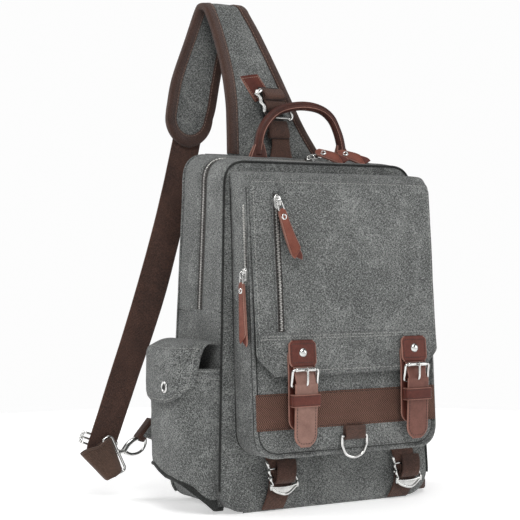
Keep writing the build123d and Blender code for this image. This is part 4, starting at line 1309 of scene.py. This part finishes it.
# Near-black disc in the snap's open centre: painted shade.
dot = [(3.7, 0.0), (3.2, 0.25), (0.3, 0.55)]
turned_piece("side_snap_centre", snap_point + [-0.35, 0, 0], LEFTWARDS, dot, HOLE_SHADE, "side_flap")
stud = [(6.0, 0.0), (6.0, 2.4), (3.2, 3.0), (3.0, 4.4), (0.3, 4.6)]
turned_piece("side_snap_button", (-175.6, 2, 133), LEFTWARDS, stud, CHROME, "bag", ["side_snap_stud"])

# --- net bottle pocket ---
NET_PLAN = [(127, -46.5), (139, -46.5), (149, -35), (153, 0), (149, 34), (137, 47), (126, 49)]
net_plan = resample(rounded(NET_PLAN, [0, 10, 14, 60, 14, 10, 0], steps=8), 1.0)
net_len = along(net_plan)[-1]


def on_net(s, z, out=0.0):
    p = pick(net_plan, np.clip(s, 0, net_len))
    ahead, behind = (pick(net_plan, np.clip(s + step, 0, net_len)) for step in (0.5, -0.5))
    way = ahead - behind
    n = unit(np.stack([way[:, 1], -way[:, 0]], 1))
    return xyz(p[:, 0] + n[:, 0] * out, p[:, 1] + n[:, 1] * out, z)


strands = []
CELL = 5.0
NET_FOOT, NET_TOP = 4, 128
NET_HIGH = NET_TOP - NET_FOOT
for way in (1, -1):
    count = int((net_len + NET_HIGH) / CELL) + 2
    for i in range(count):
        t = np.linspace(0, NET_HIGH, 44)
        s = i * CELL - NET_HIGH + t if way == 1 else i * CELL - t
        inside = (s >= 0) & (s <= net_len)
        if inside.sum() < 3:
            continue
        t, s = t[inside], s[inside]
        line = on_net(s, NET_FOOT + t, -1.0 + 0.35 * way * np.cos(t / CELL * math.pi))
        strands.append(bar(line, 0.5, segs=5))
joined("bottle_net", strands, NET, "bag", ["bottle_pocket"])
s = np.linspace(0, net_len, 120)
rim = Sheet(on_net(s, 116), on_net(s, NET_TOP), 2.6, 8, 1, ripple(0.4, 0.05, 91, 2, -0.8))
rim.build("bottle_rim", BINDING, "bag", slot="webbing")
foot = Sheet(on_net(s, 3), on_net(s, 12), 2.2, 8, 1, lambda u, v, w, p: -0.9 + 0 * u)
foot.build("bottle_foot", BINDING, "bag", slot="webbing")
stitches("bottle_stitches", [rim.run([(2, 1), (2, net_len - 1)], 0.1)], THREAD_DARK, "bag")

# --- lash webbing ---
LASHES = {"left": (0.0, 0.0), "right": (164.5, -6.0)}


def ladder_buckle(name, plane, width, length, body, node):
    """Ladder buckle: two curved side plates and three round bars."""
    rail = width / 2 + 2.0
    lumps = []
    for side in (-rail, rail):
        wave = spline(
            [
                (side, -length / 2, 1.6), (side, -length / 4, 2.4), (side, 0, -1.2),
                (side, length / 4, 2.4), (side, length / 2, 1.6),
            ],
            8,
        )
        lumps.append(bar(placed(plane, wave), 1.5, flat=(0.75, 1.25)))
    for y, z, r in ((-length / 2 + 0.6, 2.0, 1.25), (0, -2.0, 1.3), (length / 2 - 0.6, 2.0, 1.25)):
        lumps.append(bar(placed(plane, np.linspace((-rail, y, z), (rail, y, z), 10)), r))
    joined(name, lumps, CHROME, body, [node])


for side, (dx, dz) in LASHES.items():
    shift = arr([dx, 0, dz])
    buckle = f"lash_buckle_{side}"
    y_and_z = [(-58.2, 60), (-60.5, 46), (-61.2, 28), (-61.5, 13), (-59.5, 1.4)]
    lash_edges = []
    for edge_xs in ((-83, -80, -79, -83, -87), (-53, -51, -50, -55, -59.5)):
        x, y, z = spline([(x, *low) for x, low in zip(edge_xs, y_and_z)], 10).T
        lash_edges.append(xyz(x + dx, y, np.where(z < 30, z * (30 + dz) / 30, z + dz * (60 - z) / 30)))
    lash = Sheet(*lash_edges, 2.0, 14, 1, ripple(0.2, 0.05, 95, 2))
    lash.build(f"lash_strap_{side}", WEBBING, "bag", [f"lash_webbing_{side}"], "webbing")
    # Folded end of the webbing: a fat roll that turns under above the buckle's plate.
    roll = spline(
        [
            (52, -61.5), (46, -65.6), (38, -68.2), (32.5, -68.4), (29.2, -66.4), (30.0, -64.0),
            (36, -63.4), (42, -63.2),
        ],
        8,
    )
    z, y = roll.T
    roll_edges = [xyz(x - (48 - z) * lean, y, z) + shift for x, lean in ((-70.5, 0.22), (-46.0, 0.24))]
    lash_fold = Sheet(*roll_edges, 2.0, 14, 1, ripple(0.3, 0.06, 96, 2))
    lash_fold.build(f"lash_fold_{side}", WEBBING, buckle, slot="webbing")
    # Ladder buckle: wavy side rails, cross bars and a curved pressing plate.
    wave = spline(
        [
            (-83.4, -62.5, 53), (-82.6, -64.4, 49.5), (-80.4, -63.2, 45.5), (-81.2, -65, 41.5),
            (-78.6, -64, 37.5), (-79.6, -65.8, 33.5), (-77.4, -65.4, 29.5), (-78, -66, 25.5),
        ],
        6,
    ) + shift
    right_wave = wave[len(wave) // 2 + 6 :] + [33.0, 3.0, 1.0]
    plate_top = spline(
        [(-80, -66.5, 25.6), (-70, -67.4, 24.6), (-58, -67.4, 24.8), (-46.5, -66.5, 26.6)], 8,
    ) + shift
    plate_low = spline(
        [(-79.6, -66.5, 24.8), (-72.5, -67.8, 19.8), (-60, -68.2, 17.4), (-46.8, -66.5, 25.4)], 8,
    ) + shift
    bits = [
        bar(wave, 1.35), bar(wave + [2.2, 1.6, -0.4], 0.9), bar(right_wave, 1.3), bar(plate_top, 1.3),
        bar(plate_low, 1.5),
    ]
    for x, z in ((-79.5, 22.2), (-46.6, 23.6)):
        bits.append(bar(arr([(x, -66.8, z), (x, -66.9, z + 3), (x, -66.6, z + 7)]) + shift, 1.6))
    for z in (44, 35):
        bits.append(bar(np.linspace((-81, -62.6, z), (-47, -62.6, z), 8) + shift, 1.1))
    joined(f"lash_ladder_{side}", bits, CHROME, buckle, [buckle])
    plate_face = Sheet(plate_low + [0, 0.4, 0.3], plate_top + [0, 0.4, 0], 1.0, 8, 1, round_ends=False)
    plate_face.build(f"lash_plate_{side}", CHROME, buckle, slot="hardware")

# --- handle ---
GRIP = [
    (-40.5, 386), (-39.6, 396), (-35, 414), (-24, 429), (-8, 439), (18, 444),
    (42, 441.5), (58, 432), (67.5, 416), (72.5, 400), (74, 386),
]
grip = spline([(x, HANDLE_Y, z) for x, z in GRIP], 10)
s = along(grip)
end = np.minimum(s, s[-1] - s)
grip_radius = 5.3 + 0.6 * np.exp(-end / 6) + 0.1 * np.sin(s / 5)
tube(
    "handle_roll", grip, grip_radius, LEATHER_DARK, "handle", ["handle"], "leather", segs=24,
    flat=(1.0, 0.92),
)
out = unit(np.cross(unit(np.gradient(grip, axis=0)), [0, 1.0, 0]))
for k, off in enumerate((-1.0, 1.0)):
    line = grip + FRONTWARDS * 4.9 + out * off * 1.8
    # The first line also gets a pale leather-edge tube along the grip: a painted highlight on the rolled edge.
    if k == 0:
        tube("handle_painted_highlight", line[6:-6], 0.55, EDGE, "handle", slot="leather", segs=8)
    seam = line[8:-8] + FRONTWARDS * 0.1 + out[8:-8] * off * 0.4
    seam_normals = np.tile(FRONTWARDS, (len(seam), 1))
    stitches(f"handle_stitches_{k}", [(seam, seam_normals)], THREAD_DARK, "handle", 2.2, 0.9, 0.3)
for k, (fx, lean) in enumerate(((-40.0, 0.10), (74.0, -0.14))):
    for layer, shift in enumerate((-2.6, 2.6)):
        stations = ((-4, 1, -1.0), (0, 1, 4), (8, 0.8, 11), (16, 0.5, 18))
        foot_line = [
            (fx + lean * run, HANDLE_Y + shift * share, top_z(HANDLE_Y) + up)
            for run, share, up in stations
        ]
        x, y, z = spline(foot_line, 5).T
        w = np.interp(np.arange(len(x)), [0, len(x) * 0.4, len(x) - 1], [11.5, 9.5, 5.0])
        foot_sheet = Sheet(*mirrored(x, w, y, z), 2.2, 8, -1 if shift < 0 else 1)
        foot_sheet.build(f"handle_foot_{k}_{layer}", [LEATHER_DARK, EDGE], "handle", slot="leather")

# --- shoulder strap ---
LEG_A = [(-66, 50, 387), (-65, 53, 420), (-65, 56, 450), (-68, 62, 488), (-75, 70, 528), (-80, 75, 548)]
LEG_B = [(57, 50, 387), (36, 53, 420), (21, 56, 450), (4, 62, 488), (-14, 70, 528), (-24, 75, 548)]
FOLD_A = [(-82, 78, 555), (-84, 85, 558.5), (-86, 92, 553)]
FOLD_B = [(-28, 78, 556.5), (-31, 85, 560), (-35, 92, 554.5)]
BACK_A = [(-96, 97, 520), (-111, 100, 476), (-114.5, 106, 445), (-114.5, 109.5, 432)]
BACK_B = [(-43, 97, 520), (-51, 100, 476), (-53.5, 106, 445), (-55.5, 109.5, 432)]
strap_a, strap_b = spline(LEG_A + FOLD_A + BACK_A, 12), spline(LEG_B + FOLD_B + BACK_B, 12)
tip = np.radians(np.array([8, 16, 24, 32, 40, 48, 56, 64, 71, 77, 82]))
tip_middle = xyz(-85, 110 + 1.2 * np.sin(tip), 432 - 31 * np.sin(tip))
tip_side = xyz(29.5 * np.cos(tip), 0, 0)
strap_a, strap_b = np.vstack([strap_a, tip_middle - tip_side]), np.vstack([strap_b, tip_middle + tip_side])


def strap_shape(u, v, w, p):
    edge = np.minimum(u, w - u)
    return 1.6 * (
        1 - np.exp(-np.maximum(edge - 9, 0) / 8)
    ) + 0.7 * wobble(p, 0.02, 101) * np.clip(edge / 12, 0, 1)


strap = Sheet(strap_a, strap_b, PAD, 30, -1, strap_shape)
strap.build("shoulder_strap_pad", CANVAS, "bag", ["shoulder_strap"], "canvas")


def strap_outline(inset):
    """Points and directions along the strap's outline, from one foot round the tip to the other."""
    w = strap.width / 2
    line = resample(np.concatenate([np.stack([-w, strap.v], 1), np.stack([w, strap.v], 1)[::-1]]), 2.5)
    for _ in range(4):
        line[1:-1] = (line[:-2] + 2 * line[1:-1] + line[2:]) / 4
    d = unit(np.gradient(line, axis=0))
    out = np.stack([-d[:, 1], d[:, 0]], 1)
    inner = line - out * inset
    v = np.clip(inner[:, 1], strap.v[0], strap.v[-1])
    half_here = np.interp(v, strap.v, strap.width) / 2
    points, normals = strap.at(np.clip(inner[:, 0] + half_here, 0.01, 2 * half_here - 0.01), v)
    row = np.clip(np.searchsorted(strap.v, line[:, 1]), 0, len(strap.v) - 1)
    sideways = strap.across[row] * out[:, :1] + strap.tangent[row] * out[:, 1:]
    return points, normals, sideways


rim_points, rim_normals, rim_out = strap_outline(0.0)
fold_points, fold_normals, _ = strap_outline(11.0)
hoop = [
    fold_points + fold_normals * 0.2,
    fold_points + fold_normals * 1.3,
    rim_points + rim_out * 1.0 + rim_normals * 1.2,
    rim_points + rim_out * 3.0 + rim_normals * 0.4,
    rim_points + rim_out * 3.9 - rim_normals * PAD / 2,
    rim_points + rim_out * 3.0 - rim_normals * (PAD + 0.4),
    rim_points + rim_out * 1.0 - rim_normals * (PAD + 1.2),
    fold_points - fold_normals * (PAD + 1.3),
    fold_points - fold_normals * (PAD + 0.2),
]
hoop = np.stack(hoop, 1)
hoop_faces = tube_faces(len(hoop), 9)[1][:, [0, 3, 2, 1]].tolist()
hoop_uv = np.stack([
    np.tile([0, 1.2, 11, 13, 16, 19, 21, 30, 31], (len(hoop), 1)),
    np.repeat(along(rim_points)[:, None], 9, 1),
], -1).reshape(-1, 2)
make("strap_binding", hoop.reshape(-1, 3), hoop_faces, BINDING, "bag", uv=hoop_uv)
seam_points, seam_normals, _ = strap_outline(9.4)
stitches(
    "strap_binding_stitches",
    [
        (seam_points + seam_normals * 1.45, seam_normals),
        (seam_points - seam_normals * (PAD + 1.45), -seam_normals),
    ],
    THREAD_TAN, "bag", radius=0.3,
)

WEB_A = [
    (-103, 113.6, 416), (-107, 113.0, 398), (-128, 110.5, 318), (-158, 110, 220), (-189.5, 109, 130),
    (-212, 109, 66), (-215, 109, 56),
]
WEB_B = [
    (-66, 113.6, 416), (-69.5, 113.0, 398), (-90, 110.5, 318), (-118, 110, 220), (-152, 109, 130),
    (-176, 109, 66), (-180, 109, 56),
]


def web_shape(u, v, w, p):
    return 0.6 * wobble(p, 0.012, 111) + 0.15 * wobble(p, 0.1, 112, 2)


web = Sheet(spline(WEB_A, 26), spline(WEB_B, 26), 2.0, 16, 1, web_shape)
web.build("strap_webbing_long", WEBBING, "bag", ["strap_webbing"], "webbing")
webbing_low, webbing_high = arr([-194, 109, 66]), arr([-170.75, 109, 130])
glide_run = unit(webbing_high - webbing_low)
glide_x = np.cross(glide_run, FRONTWARDS)
glide = (webbing_low - glide_run * 5 + arr([-4.0, 4.6, 0]), glide_x, glide_run, FRONTWARDS)
ladder_buckle("triglide", glide, 39.5, 13, "triglide", "strap_triglide")

FOLD_TOP = spline([(-193, 67), (-200, 62), (-208, 57.5), (-218, 55.5), (-226, 51.5)], 8)
FOLD_FOOT = spline([(-178.5, 29.5), (-181, 26), (-185.5, 23), (-190.5, 21.5), (-195, 19.5)], 8)
turn_at = np.linspace(0, TAU, 57)
loop_share = 0.48 - 0.52 * np.sign(np.cos(turn_at)) * np.abs(np.cos(turn_at)) ** 0.35
loop_depth = 100.1 - 4.3 * np.sign(np.sin(turn_at)) * np.abs(np.sin(turn_at)) ** 0.35


def fold_line(edge):
    p = pick(edge, np.clip(loop_share, 0, 1) * along(edge)[-1])
    lead = unit(edge[0] - edge[1]) * (np.maximum(-loop_share, 0) * 40)[:, None]
    tail_end = unit(edge[-1] - edge[-2]) * (np.maximum(loop_share - 1, 0) * 40)[:, None]
    p = p + lead + tail_end
    return xyz(p[:, 0], loop_depth, p[:, 1])


# The end fold and its curled edge use the paler webbing: painted highlight.
end_loop = Sheet(
    fold_line(FOLD_FOOT), fold_line(FOLD_TOP), 1.7, 18, 1, ripple(0.5, 0.05, 121, 2), round_ends=False,
)
end_loop.build("strap_end_fold", WEBBING_PAINTED_HIGHLIGHT, "bag", ["strap_end_loop"], "webbing")
roll_line = xyz(FOLD_TOP[2:, 0], 95.2, FOLD_TOP[2:, 1] + 0.3)
tube("strap_end_roll", roll_line, 1.7, WEBBING_PAINTED_HIGHLIGHT, "bag", slot="webbing", flat=(1.0, 0.8))
RING_MIDDLE = arr([-180.5, 100, 49.8])
HOOK_UP = unit(arr([-0.43, 0, 0.903]))
HOOK_BACK = unit(arr([-0.903, 0, -0.43]))
frame_2d = rounded([(0, -22), (0, 22), (11, 22), (11, -22)], 4.5, True, 8)
frame_wire = RING_MIDDLE + np.outer(frame_2d[:, 0], HOOK_BACK) + np.outer(frame_2d[:, 1], HOOK_UP)
collar = bar(np.linspace(RING_MIDDLE - HOOK_UP * 2.6, RING_MIDDLE + HOOK_UP * 2.6, 6), 2.4)
joined(
    "hook_ring_wire", [bar(frame_wire, 1.55, closed=True), collar], CHROME, "bag", ["hook_ring"],
)
swivel = bar(spline([(-186.5, 100, 47.4), (-181, 100, 49.4), (-176, 100, 50.4), (-171.5, 100, 50.6)], 6), 2.3)
knob = bar(
    arr([(-188.5, 100, 46.8), (-187.5, 100, 47.1), (-186, 100, 47.7), (-185.4, 100, 47.9)]),
    arr([2.2, 3.2, 3.2, 2.4]),
)
arm_line = spline(
    [
        (-174, 100, 50.6), (-169.5, 99.5, 57), (-163, 99, 62.2), (-156.5, 99, 65.2), (-150, 99.5, 68.5),
        (-144, 100, 75),
    ],
    8,
)
arm_size = np.interp(np.arange(len(arm_line)), [0, 12, len(arm_line) - 1], [3.4, 3.0, 1.7])
arm = bar(arm_line, arm_size, flat=(0.62, 1.0))
joined("hook_arm", [swivel, knob, arm], CHROME, "hook", ["hook_body"])
gate_line = spline(
    [
        (-172.5, 100, 49.5), (-166, 100, 46.6), (-158, 100, 46.6), (-151, 100, 50), (-147, 100, 56),
        (-146.5, 100, 62), (-149, 100, 67),
    ],
    8,
)
tube(
    "hook_gate_wire", gate_line,
    np.interp(np.arange(len(gate_line)), [0, 10, len(gate_line) - 1], [2.6, 1.7, 1.5]), CHROME,
    "hook_gate", ["hook_gate"], "hardware",
)

TUNNEL_LOW, TUNNEL_HIGH = arr([-157, 100, 63.2]), arr([-139.4, 100, 83.6])
tunnel_run = unit(TUNNEL_HIGH - TUNNEL_LOW)
tunnel_side = np.cross(tunnel_run, FRONTWARDS)
oval = rounded([(-4.6, -4.5), (10.6, -4.5), (10.6, 4.5), (-4.6, 4.5)], 4.2, True, 8)
oval = np.vstack([oval, oval[:1]])
ring_line = TUNNEL_LOW + np.outer(oval[:, 0], FRONTWARDS) + np.outer(oval[:, 1], tunnel_side)
tunnel = Sheet(ring_line, ring_line + (TUNNEL_HIGH - TUNNEL_LOW), 1.5, 12, 1, round_ends=False)
tunnel.build("anchor_webbing", WEBBING, "bag", ["anchor_loop"], "webbing")
tab_rows = np.linspace(0, 1, 16)[:, None]
tl = arr([-134.6, 57.0, 58]) * (1 - tab_rows) + arr([-155, 90.5, 67.0]) * tab_rows
tr = arr([-133.0, 57.0, 97]) * (1 - tab_rows) + arr([-140.6, 90.5, 82.8]) * tab_rows
anchor = Sheet(tl, tr, 3.0, 14, 1, ripple(0.5, 0.05, 131))
anchor.build("anchor_canvas", CANVAS, "bag", ["anchor_tab"], "canvas")
stitches("anchor_stitches", [anchor.border(2.4, 0.1)], THREAD_PALE, "bag", radius=FINE_THREAD)

# --- load lifter ---
LIFT_A = [(-17, 40, 384.5), (-14, 41, 396), (-14, 42, 408), (-19, 43.5, 426)]
LIFT_B = [(13, 40, 384.5), (11, 41, 396), (10, 42, 408), (8, 43.5, 426)]
lifter = Sheet(spline(LIFT_A, 12), spline(LIFT_B, 12), 2.4, 12, -1, ripple(0.3, 0.05, 141))
lifter.build("lifter_strap", WEBBING, "bag", ["lifter_webbing"], "webbing")
# Folded webbing over the ladder: each layer hangs down and turns under at its foot.
for k, (low_x, high_x, low_z, high_z, depth) in enumerate(
    ((-5, -5.5, 408, 426, 40.4), (-7, -9, 440, 452, 43.2), (-9.5, -11.5, 453, 463, 42.4))
):
    layer_path = spline(
        [
            (high_z, depth + 3), ((low_z + high_z) / 2, depth - 1.2), (low_z + 2, depth - 2.6),
            (low_z - 0.6, depth - 1.2), (low_z, depth + 1.2), (low_z + 5, depth + 2.4),
        ],
        8,
    )
    z, y = layer_path.T
    centre_x = np.interp(z, [low_z, high_z], [low_x, high_x])
    lifter_fold = Sheet(*mirrored(centre_x, 13.6, y, z), 2.2, 12, -1, ripple(0.3, 0.06, 143, 2))
    lifter_fold.build(f"lifter_fold_{k}", WEBBING, "bag", slot="webbing")
# Near-black canvas sheet behind the webbing folds: painted shade in the gaps round the ladder.
lift_shade_backing = Sheet(
    np.linspace((-21, 46, 424), (-27, 50, 464), 16), np.linspace((6, 46, 424), (1, 50, 464), 16), 3.0, 10, -1
)
lift_shade_backing.build("lifter_shade_backing", CANVAS_DARK, "bag", slot="webbing")
pa = np.linspace((-31.5, 50.2, 449), (-48.5, 56.5, 476), 20)
pb = np.linspace((-9.5, 50.2, 457), (-23.5, 56.5, 480), 20)
lift_patch = Sheet(pa, pb, 2.8, 12, -1, domed(0.5))
lift_patch.build("lifter_leather", [LEATHER, EDGE], "bag", ["lifter_patch"], "leather")
stitches("lifter_stitches", [lift_patch.border(2.4, 0.1)], THREAD_TAN, "bag", 2.0, 0.8, 0.34)
rail_line = spline(
    [
        (-34.5, 41, 461), (-35, 39.6, 456), (-31.2, 39.2, 451.5), (-30.6, 38.6, 446.5),
        (-26.6, 38.4, 442), (-26.2, 38, 437), (-22.4, 38, 432.5), (-20, 38.6, 429),
    ],
    6,
)
rail_bits = [bar(rail_line, 1.35)]
rail_bits.append(bar(rail_line + [2.6, 1.2, 0.6], 1.0))
rail_bits.append(
    bar(
        arr([(-36.5, 40.6, 455.5), (-33, 40.2, 458.5), (-29, 40.2, 461), (-26, 40.8, 462)]),
        arr([1.4, 3.0, 2.6, 0.8]), flat=(0.6, 1.0),
    )
)
rail_bits.append(bar(np.linspace((-20.5, 40.8, 430.6), (11, 39.6, 429.6), 10), 1.5))
rail_bits.append(
    bar(spline([(7.5, 39, 427.5), (11.2, 38.6, 430), (11.6, 38.6, 434), (9.6, 39, 437.5)], 6), 1.5)
)
joined("lifter_ladder", rail_bits, CHROME, "bag")

# --- stage, light and camera ---
scene = bpy.context.scene
FLOOR_RADIUS, FLOOR_Z, FLOOR_GLOW, SKY_STRENGTH = 950.0, -1.9, 0.42, 0.98
floor_mat = Shade("floor_pale", 0.7)
floor_mat.colour(
    floor_mat.ramp(floor_mat.noise(3, 2.0), [(0.3, (0.90, 0.90, 0.90)), (0.7, (0.94, 0.94, 0.94))])
)
floor_mat.surface.inputs["Emission Color"].default_value = (1.0, 1.0, 1.0, 1.0)
floor_mat.surface.inputs["Emission Strength"].default_value = FLOOR_GLOW
floor_turn = np.arange(96) / 96 * TAU
floor = make(
    "floor",
    xyz(FLOOR_RADIUS * np.cos(floor_turn), FLOOR_RADIUS * np.sin(floor_turn), FLOOR_Z),
    [list(range(96))],
    floor_mat.mat,
    None,
    smooth=False,
)

world = bpy.data.worlds.new("studio")
world.use_nodes = True
sky = world.node_tree
sky_coords = sky.nodes.new("ShaderNodeTexCoord")
sky_split = sky.nodes.new("ShaderNodeSeparateXYZ")
sky_ramp = sky.nodes.new("ShaderNodeValToRGB")
while len(sky_ramp.color_ramp.elements) < 4:
    sky_ramp.color_ramp.elements.new(0.5)
for element, (place, tone) in zip(
    sky_ramp.color_ramp.elements, [(0.22, 1.0), (0.36, 0.08), (0.78, 0.14), (0.90, 1.0)],
):
    element.position = place
    element.color = (tone, tone, tone, 1.0)
sky.links.new(sky_coords.outputs["Generated"], sky_split.inputs[0])
sky.links.new(sky_split.outputs[2], sky_ramp.inputs[0])
sky.links.new(sky_ramp.outputs[0], sky.nodes["Background"].inputs["Color"])
sky.nodes["Background"].inputs["Strength"].default_value = SKY_STRENGTH
scene.world = world
scene.view_settings.view_transform = "Standard"


def area_light(name, place, target, size, power):
    data = bpy.data.lights.new(name, "AREA")
    data.shape = "RECTANGLE"
    data.size, data.size_y = size
    data.energy = power
    lamp = bpy.data.objects.new(name, data)
    scene.collection.objects.link(lamp)
    lamp.location = place
    lamp.rotation_mode = "QUATERNION"
    lamp.rotation_quaternion = (Vector(target) - Vector(place)).to_track_quat("-Z", "Y")


area_light("key", (-0.7, -1.8, 2.1), (0, 0, 0.2), (1.3, 0.8), 30)
area_light("fill", (1.7, -1.5, 0.9), (0, 0, 0.25), (0.9, 1.3), 9)
area_light("rim", (-1.7, 1.2, 1.5), (0, 0, 0.3), (0.9, 0.9), 20)

CAMERA_PLACE, CAMERA_TARGET, CAMERA_LENS = (-0.87141, -1.38804, 0.28106), (-0.0538, 0, 0.2670), 100.25
data = bpy.data.cameras.new("camera")
data.lens = CAMERA_LENS
data.sensor_width = 36.0
camera = bpy.data.objects.new("camera", data)
scene.collection.objects.link(camera)
camera.location = CAMERA_PLACE
camera.rotation_mode = "QUATERNION"
camera.rotation_quaternion = (Vector(CAMERA_TARGET) - camera.location).to_track_quat("-Z", "Y")
scene.camera = camera
